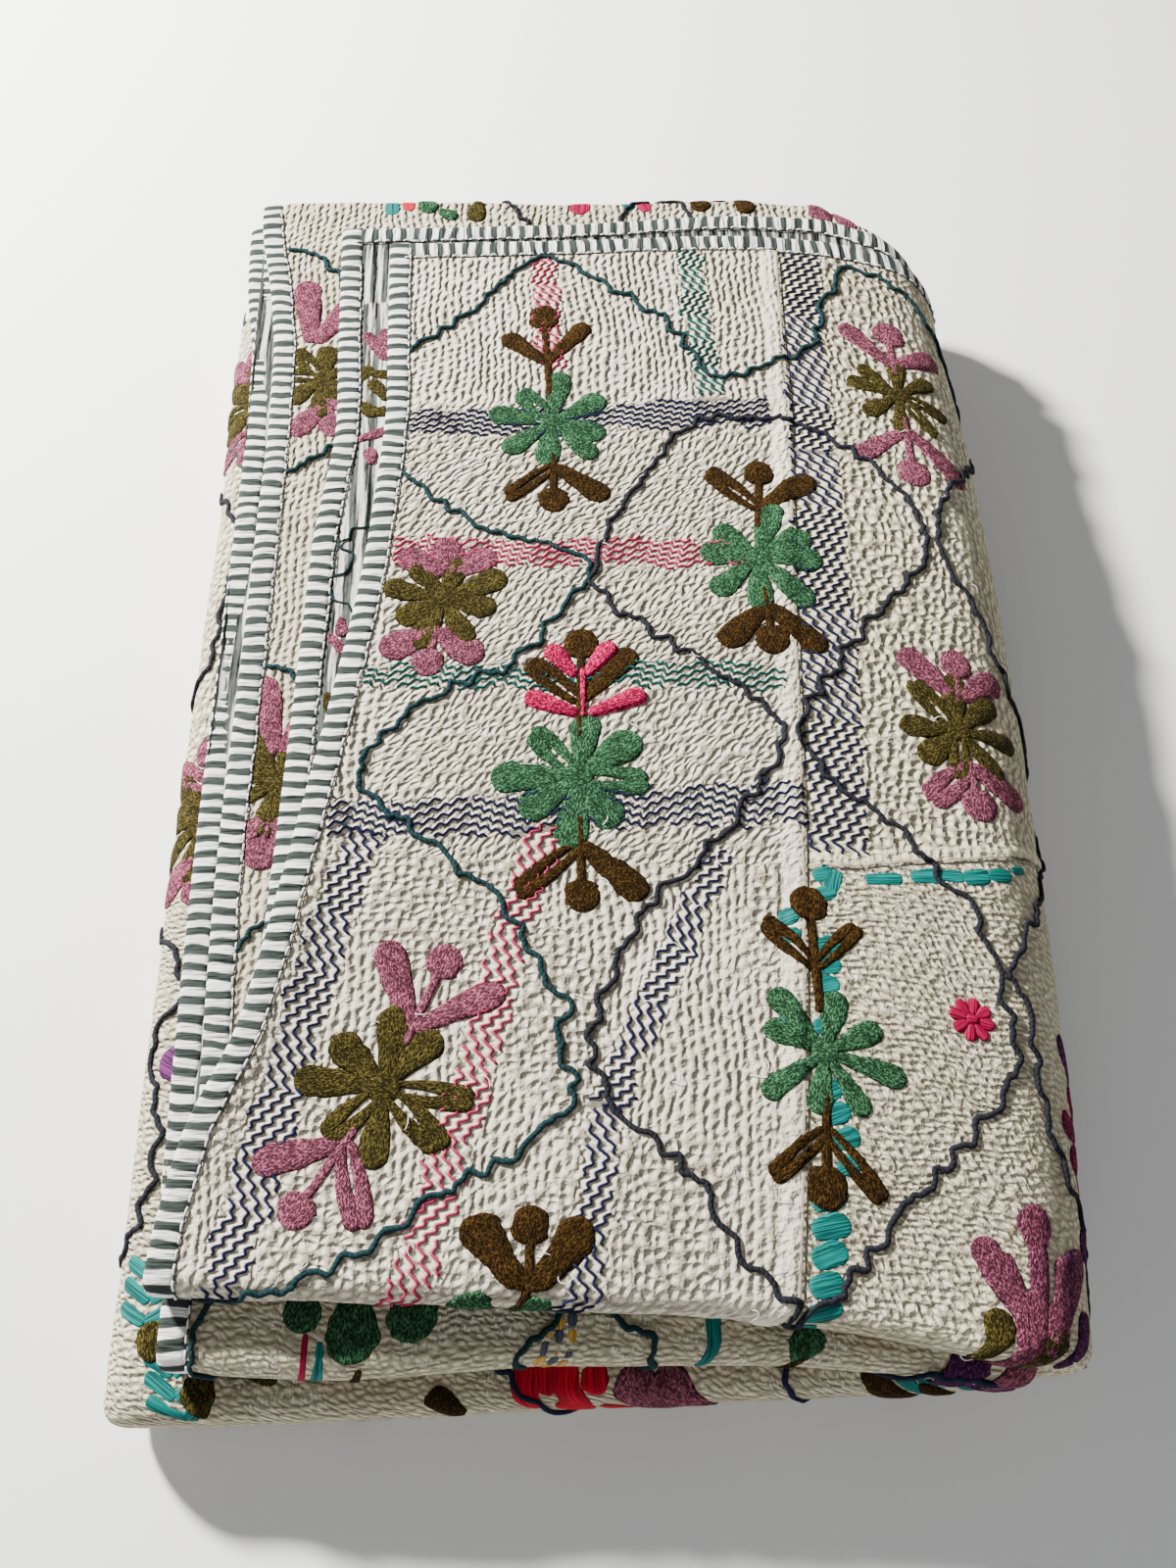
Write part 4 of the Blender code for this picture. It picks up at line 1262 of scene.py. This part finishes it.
def make_sprays(finishes):
    """Flowers, leaves and buds, gathered by colour of yarn."""
    work = {colour: Needlework() for colour in finishes}
    rng = np.random.default_rng(5)

    def pad(colour, u, v, angle, length, width, **more):
        seed = int(rng.integers(1, 60))
        work[colour].add_pad(u * MM, v * MM, np.radians(angle), length * MM, width * MM,
                             seed=seed, **more)

    def petal(colour, u, v, angle, length, width, slit=False, **more):
        """One pad, or two narrow ones side by side that leave a slit between them."""
        if not slit:
            return pad(colour, u, v, angle, length, width, **more)
        forward = towards(angle)
        for hand in (-1, 1):
            aside = 0.125 * width * hand * np.array([-forward[1], forward[0]])
            pad(colour, u + aside[0], v + aside[1], angle, length * rng.uniform(0.93, 1.0),
                0.52 * width, bow=hand * 0.115 * width * MM, **more)

    def stem_and_leaves(leaf, u, v, radius, breadth, heading, reach):
        """A stem, the bud at its end and a leaf to each side. A mauve one is short and broad."""
        out = towards(heading)
        bud = rng.uniform(*BUD_SIZES)
        stem = STEM_START * radius
        pad(leaf, u + stem * out[0], v + stem * out[1], heading, reach - bud / 2 - stem,
            STEM_WIDTH, base=1.0)
        at = reach - bud
        pad(leaf, u + at * out[0], v + at * out[1], heading, bud, bud, base=0.9)
        broad = leaf == "mauve"
        for hand in (-1, 1):
            spread = 75 - reach / 2 if broad else 47
            angle = heading + hand * (spread + rng.uniform(-6, 6))
            length = 11.0 + 0.42 * reach if broad else 1.02 * radius
            width = (34.0 if broad else 29.0) * breadth * rng.uniform(0.9, 1.1)
            at = (0.40 if broad else 0.50) * reach
            petal(leaf, u + at * out[0], v + at * out[1], angle,
                  length * rng.uniform(0.93, 1.08), width, slit=rng.uniform() < SLIT_LEAVES)

    for flower, leaf, u, v, radius, breadth, upper, upper_lean, lower, lower_lean, turn in SPRAYS:
        if upper:
            stem_and_leaves(leaf, u, v, radius, breadth, upper_lean - 90, upper)
        if lower:
            stem_and_leaves(leaf, u, v, radius, breadth, 90 - lower_lean, lower)
        for k in range(PETALS):
            angle = turn + 360 // PETALS * k + rng.uniform(-9, 9)
            length = radius * rng.uniform(0.84, 1.10)
            start = 0.06 * radius
            out = towards(angle)
            petal(flower, u + start * out[0], v + start * out[1], angle, length - start,
                  radius * breadth * rng.uniform(0.90, 1.10), slit=rng.uniform() < SLIT_PETALS,
                  base=0.42)
        pad(flower, u - 0.19 * radius, v, 0, 0.38 * radius, 0.38 * radius, base=0.9,
            height=1.2 * MM)
    for colour, *row in each_row(PADS):
        petal(colour, *row, height=PINK_HEIGHT if colour == "pink" else PAD_HEIGHT)
    for colour, needlework in work.items():
        if needlework.count:
            needlework.finish(f"embroidery_{colour}", finishes[colour])
    for colour, rows in BACKS.items():
        backs = Needlework(wrong_side=True)
        for u, v, angle, length, width in rows:
            backs.add_pad(u * MM, v * MM, np.radians(angle), length * MM, width * MM, seed=v % 50)
        backs.finish(f"embroidery_back_{colour}", finishes[colour])


# A band's thread: its radius, how closely it is sampled, how high it lies and how far it bobs.
STRAND_RADIUS, STRAND_STEP, STRAND_LIFT, STRAND_BOB = 0.62 * MM, 0.85, 0.22, 0.30
BAND_FRAY = 3.0             # how unevenly a band's lines end at its sides, in millimetres


def make_bands():
    """The bands' lines of thread, each cut off where it leaves its band."""
    work = {colour: Needlework() for colour in STRAND}
    for row in BANDS:
        colour, u0, v0, u1, v1, width, slope, half, pitch, phase = row
        start, end = np.array([u0, v0], float), np.array([u1, v1], float)
        span = np.linalg.norm(end - start)
        forward = (end - start) / span
        left = np.array([-forward[1], forward[0]])
        along = np.arange(0, span, STRAND_STEP)
        most = int((width / 2 + slope * half / 2) / pitch) + 1
        for k in range(-most, most + 1):
            side = pitch * line(k, along, slope * half / pitch, 0.5 / half, phase)
            lift = STRAND_LIFT + STRAND_BOB * cloth_noise(along, 1.7 * k, 2.6, 31)
            path = start + along[:, None] * forward + side[:, None] * left
            full = np.concatenate([path, lift[:, None]], axis=1) * MM
            inside = np.abs(side) < width / 2 + BAND_FRAY * cloth_noise(along, 5.0 * k, 9.0, 32)
            cuts = np.flatnonzero(np.diff(inside.astype(int))) + 1
            for piece, shown in zip(np.split(full, cuts), np.split(inside, cuts)):
                if shown[0] and len(piece) > 4:
                    work[colour].add_thread(piece, STRAND_RADIUS, sides=5)
    for colour, needlework in work.items():
        thread = make_thread(f"{colour}_thread", STRAND[colour])
        needlework.finish(f"running_stitch_{colour}", thread)


# Blocks of satin stitch.
SATIN = (
    # colour, then u, v, angle, length and width of each
    ("turquoise", (270, 383, -15, 10, 8), (270, 392, -18, 10, 7), (255, 404, -20, 9, 8),
        (256, 412, -15, 8, 7), (269, 415, -12, 11, 8), (269, 424, -14, 11, 8),
        (268, 433, -18, 11, 8), (268, 441, -12, 10, 7), (254, 447, -20, 9, 8),
        (267, 450, -15, 10, 8), (267, 478, -30, 11, 9), (269, 487, -28, 12, 9),
        (272, 496, -25, 12, 9), (274, 506, -28, 10, 8), (263, 520, -24, 15, 10),
        (263, 530, -18, 16, 10), (263, 541, -26, 15, 10), (262, 551, -18, 14, 10),
        (262, 562, -26, 14, 10), (262, 572, -20, 12, 9), (277, 390, -78, 12, 8),
        (292, 382, -10, 16, 6), (311, 378, -12, 14, 7), (322, 375, -8, 12, 6),
        (333, 374, -12, 12, 8), (344, 371, -10, 11, 7), (355, 366, -14, 8, 4),
        (1337, 570, 88, 25, 6), (1156, 552, 70, 18, 8), (1166, 550, 84, 20, 7),
        (1176, 554, 70, 14, 6), (76, 1194, 88, 18, 9)),
    ("scarlet", (84, 1196, 74, 13, 8)),
    ("turquoise", (216, 1194, 80, 14, 8)),
    ("crimson", (189, 1193, 92, 18, 13), (224, 1196, 70, 14, 8)),
    ("turquoise", (844, 511, -150, 15, 6), (844, 511, -30, 14, 6), (843, 519, -148, 15, 6),
        (843, 519, -32, 15, 6), (842, 527, -150, 14, 6), (842, 527, -28, 14, 6),
        (856, 545, -150, 15, 6), (856, 545, -30, 14, 6), (858, 553, -148, 16, 6),
        (858, 553, -34, 15, 6), (860, 561, -150, 16, 6), (860, 561, -30, 15, 6),
        (1491, 588, -90, 22, 5)),
    ("crimson", (1497, 590, -90, 24, 3)),
    ("scarlet", (1002, 544, 92, 20, 11), (1011, 544, 88, 14, 11), (1020, 544, 92, 24, 12),
        (1030, 544, 84, 15, 12), (1011, 562, 60, 12, 9), (1032, 564, 100, 12, 13)),
    ("purple", (836, 424, 30, 20, 15)),
    ("mustard", (1393, 570, 90, 5, 4), (1393, 582, 90, 5, 4), (1398, 567, 90, 5, 4),
        (1398, 577, 90, 5, 4), (1398, 587, 90, 5, 4), (1403, 571, 90, 6, 4),
        (1403, 584, 90, 5, 4)),
    ("slate", (1393, 576, 90, 6, 4), (1398, 572, 90, 5, 4), (1398, 582, 90, 5, 4),
        (1403, 577, 90, 6, 4), (1393, 588, 90, 5, 4)),
)
SATIN_HEIGHT = 0.35 * MM
# The crochet flower's middle, how far from it the petals start, a petal's length and width, and
# the raised middle's left end and size.
CROCHET_AT, CROCHET_HOLE, CROCHET_PETAL = np.array([331, 436]), 1.6, (7.6, 5.4)
CROCHET_MIDDLE_U, CROCHET_MIDDLE = 328.6, 4.8
CROCHET_HEIGHT, MIDDLE_HEIGHT = 1.1 * MM, 1.7 * MM


def make_satin():
    """Blocks of satin stitch, and a small crochet flower of eight petals and a middle."""
    work = {colour: Needlework() for colour in SILK}
    for seed, (colour, u, v, angle, length, width) in enumerate(each_row(SATIN)):
        work[colour].add_pad(u * MM, v * MM, np.radians(angle), length * MM, width * MM,
                             base=0.8, height=SATIN_HEIGHT, seed=seed)
    for k in range(PETALS):
        angle = 2 * np.pi * (k + 0.2) / PETALS
        u, v = (CROCHET_AT + CROCHET_HOLE * np.array([np.cos(angle), np.sin(angle)])) * MM
        length, width = (size * MM for size in CROCHET_PETAL)
        work["crimson"].add_pad(u, v, angle, length, width, base=0.5, height=CROCHET_HEIGHT,
                                seed=k)
    work["crimson"].add_pad(CROCHET_MIDDLE_U * MM, CROCHET_AT[1] * MM, 0.0, CROCHET_MIDDLE * MM,
                            CROCHET_MIDDLE * MM, base=0.9, height=MIDDLE_HEIGHT)
    for colour, needlework in work.items():
        needlework.finish(f"satin_stitch_{colour}", make_silk(f"{colour}_silk", SILK[colour]))


# Where the bindings' stitches show: edge, from, to, how far along it, in millimetres.
HEM_STRETCHES = (
    ("left", 4, 575), ("left", 1206, 1800), ("left", 1815, 2390), ("right", 560, 620),
    ("head", 8, 470), ("foot", 8, 470),
)
LAST_PANEL = 1810           # past this the quilt's left edge shows its wrong side
STITCH_PITCH, STITCH_LENGTH, STITCH_LIFT, STITCH_DIVE = 5.4, 3.6, 0.85, 0.1
LINE_REACH, STITCH_REACH, REACH_DRIFT = 11.3, 11.0, 0.5       # how far in they lie, and stray
DARK_RADIUS, WHITE_RADIUS = 0.30 * MM, 0.50 * MM


def make_hem_stitches():
    """A dark line along each binding's inner edge, which is partly dark thread and partly a painted
    shadow in the gap there, and white stitches over it, which dive at both ends."""
    work = {(colour, wrong): Needlework(wrong, True)
            for colour in ("dark", "white") for wrong in (False, True)}
    for edge, low, high in HEM_STRETCHES:
        wrong = edge == "foot" or low > LAST_PANEL
        run = np.arange(low, high, 2.0)
        reach = LINE_REACH + REACH_DRIFT * cloth_noise(run, 0, 9.0, 51)
        path = along_edge(edge, run * MM, reach * MM, 0.05 * MM + 0 * run)
        # The dark line is partly dark thread and partly a painted shadow in the gap beside the
        # binding.
        work["dark", wrong].add_thread(path, DARK_RADIUS, sides=5)
        for at in np.arange(low, high - 5, STITCH_PITCH):
            length = STITCH_LENGTH + 0.8 * float(cloth_noise(at, 3, 5.0, 52))
            run = at + np.linspace(0, length, 5)
            lift = STITCH_LIFT * np.sin(np.pi * np.linspace(0, 1, 5)) - STITCH_DIVE
            reach = STITCH_REACH + REACH_DRIFT * cloth_noise(run, 0, 9.0, 51)
            path = along_edge(edge, run * MM, reach * MM, lift * MM)
            work["white", wrong].add_thread(path, WHITE_RADIUS, sides=5)
    for (colour, wrong), needlework in work.items():
        # The dark line takes the charcoal yarn's colour, as thread and painted shadow.
        light = WHITE_THREAD if colour == "white" else YARN["charcoal"]
        name = f"hem_stitches_{colour}_under" if wrong else f"hem_stitches_{colour}"
        needlework.finish(name, make_thread(f"{name}_thread", light), "striped_binding")


def along_edge(edge, at, reach, lift):
    """Places at these distances along an edge of the quilt and this far in from it."""
    if edge in ("left", "right"):
        left, right = edges(at)
        height = ALONG.at(at)[4]
        across = ACROSS.true_distance(left + reach if edge == "left" else right - reach, height)
        return np.stack([across, ALONG.true_distance(at, CLOTH_HALF), lift], axis=-1)
    start = 0.0 if edge == "head" else ALONG.end
    left = float(edges(np.array(start))[0])
    height = float(ALONG.at(np.array([start]))[4][0])
    across = ACROSS.true_distance(left + at, height)
    along = np.full_like(across, reach if edge == "head" else start - reach)
    return np.stack([across, along, lift], axis=-1)


# How many loose ends there are, where, and their bend in radians, length and height.
LOOSE_ENDS, LOOSE_RADIUS, LOOSE_U, LOOSE_V = 70, 0.22 * MM, (60, 440), (120, 575)
LOOSE_BEND, LOOSE_LENGTH, LOOSE_HEIGHT, LOOSE_LIFT = (-3, 3), (4, 9), (0.8, 2.2), 0.2


def make_loose_ends():
    """White thread ends: small curls that stand up from the cloth."""
    needlework = Needlework()
    rng = np.random.default_rng(8)
    for u, v in zip(rng.uniform(*LOOSE_U, LOOSE_ENDS), rng.uniform(*LOOSE_V, LOOSE_ENDS)):
        t = np.linspace(0, 1, 10)
        turn, bend = rng.uniform(0, 2 * np.pi), rng.uniform(*LOOSE_BEND)
        length = rng.uniform(*LOOSE_LENGTH)
        curl = turn + bend * t
        lift = LOOSE_LIFT + rng.uniform(*LOOSE_HEIGHT) * np.sin(np.pi * t)
        path = [u + length * t * np.cos(curl), v + length * t * np.sin(curl), lift]
        needlework.add_thread(np.stack(path, axis=-1) * MM, LOOSE_RADIUS, sides=4)
    needlework.finish("loose_thread_ends", make_thread("white_thread", WHITE_THREAD))


# ---------------------------------------------------------------- the whole quilt
def main():
    """The cloth and its bindings, which replace the CAD's, and all the needlework on them."""
    cream, reverse, stripes = make_cream(), make_reverse(), make_stripes()
    quilt = make_quilt(cream, reverse)
    bindings = [
        make_binding("left", "binding_side_left", stripes),
        make_binding("right", "binding_side_right", stripes),
        make_binding("head", "binding_end_head", stripes),
        make_binding("foot", "binding_end_foot", stripes),
    ]
    wools = {colour: make_wool(f"{colour}_wool", light) for colour, light in WOOL.items()}
    yarns = {colour: make_yarn(f"{colour}_yarn", light) for colour, light in YARN.items()}
    make_yarns(yarns)
    make_sprays(wools)
    make_bands()
    make_satin()
    make_hem_stitches()
    make_loose_ends()


# ---------------------------------------------------------------- camera and light
CAMERA = (-0.0021, -0.3260, 0.6240)
LENS, SENSOR, PITCH = 30.375, 36.0, 25.9
LIGHTS = (
    # name, place, size, power, colour
    ("key_light", (-1.25, 0.92, 1.02), 0.20, 175.0, (1.0, 0.98, 0.94)),
    ("fill_light", (0.1, -1.4, 0.55), 1.0, 5.0, (0.94, 0.97, 1.0)),
)
LIT_PLACE = (0.0, 0.0, 0.05)
SKY = 0.25                  # the even white light from all round
FLOOR_HALF, FLOOR_DROP, FLOOR_SHADE = 4.0, 0.0004, 0.95


def area_light(name, place_at, size, power, colour):
    """A round soft light that faces the quilt."""
    light = bpy.data.lights.new(name, "AREA")
    light.shape, light.size, light.energy, light.color = "DISK", size, power, colour
    lamp = bpy.data.objects.new(name, light)
    lamp.location = place_at
    across, along, up = np.array(LIT_PLACE) - np.array(place_at)
    lamp.rotation_euler = (np.arctan2(np.hypot(across, along), -up), 0, np.arctan2(-across, along))
    bpy.context.scene.collection.objects.link(lamp)


def make_floor():
    mesh = bpy.data.meshes.new("floor")
    corners = [(-1, -1), (1, -1), (1, 1), (-1, 1)]
    mesh.from_pydata([(FLOOR_HALF * x, FLOOR_HALF * y, -FLOOR_DROP) for x, y in corners], [],
                     [(0, 1, 2, 3)])
    pale = bpy.data.materials.new("pale_floor")
    pale.use_nodes = True
    shader = pale.node_tree.nodes["Principled BSDF"]
    shader.inputs["Base Color"].default_value = (FLOOR_SHADE, FLOOR_SHADE, FLOOR_SHADE, 1.0)
    shader.inputs["Roughness"].default_value = 0.9
    mesh.materials.append(pale)
    floor = bpy.data.objects.new("floor", mesh)
    bpy.context.scene.collection.objects.link(floor)


def make_stage():
    """Camera, lights and a plain pale floor."""
    camera_data = bpy.data.cameras.new("camera")
    camera_data.lens, camera_data.sensor_width, camera_data.sensor_fit = LENS, SENSOR, "AUTO"
    camera = bpy.data.objects.new("camera", camera_data)
    camera.location = CAMERA
    camera.rotation_euler = (np.radians(PITCH), 0, 0)
    bpy.context.scene.collection.objects.link(camera)
    bpy.context.scene.camera = camera
    for row in LIGHTS:
        area_light(*row)
    world = bpy.data.worlds.new("studio")
    world.use_nodes = True
    background = world.node_tree.nodes["Background"]
    background.inputs["Color"].default_value = (1.0, 1.0, 1.0, 1.0)
    background.inputs["Strength"].default_value = SKY
    bpy.context.scene.world = world
    make_floor()


main()
make_stage()
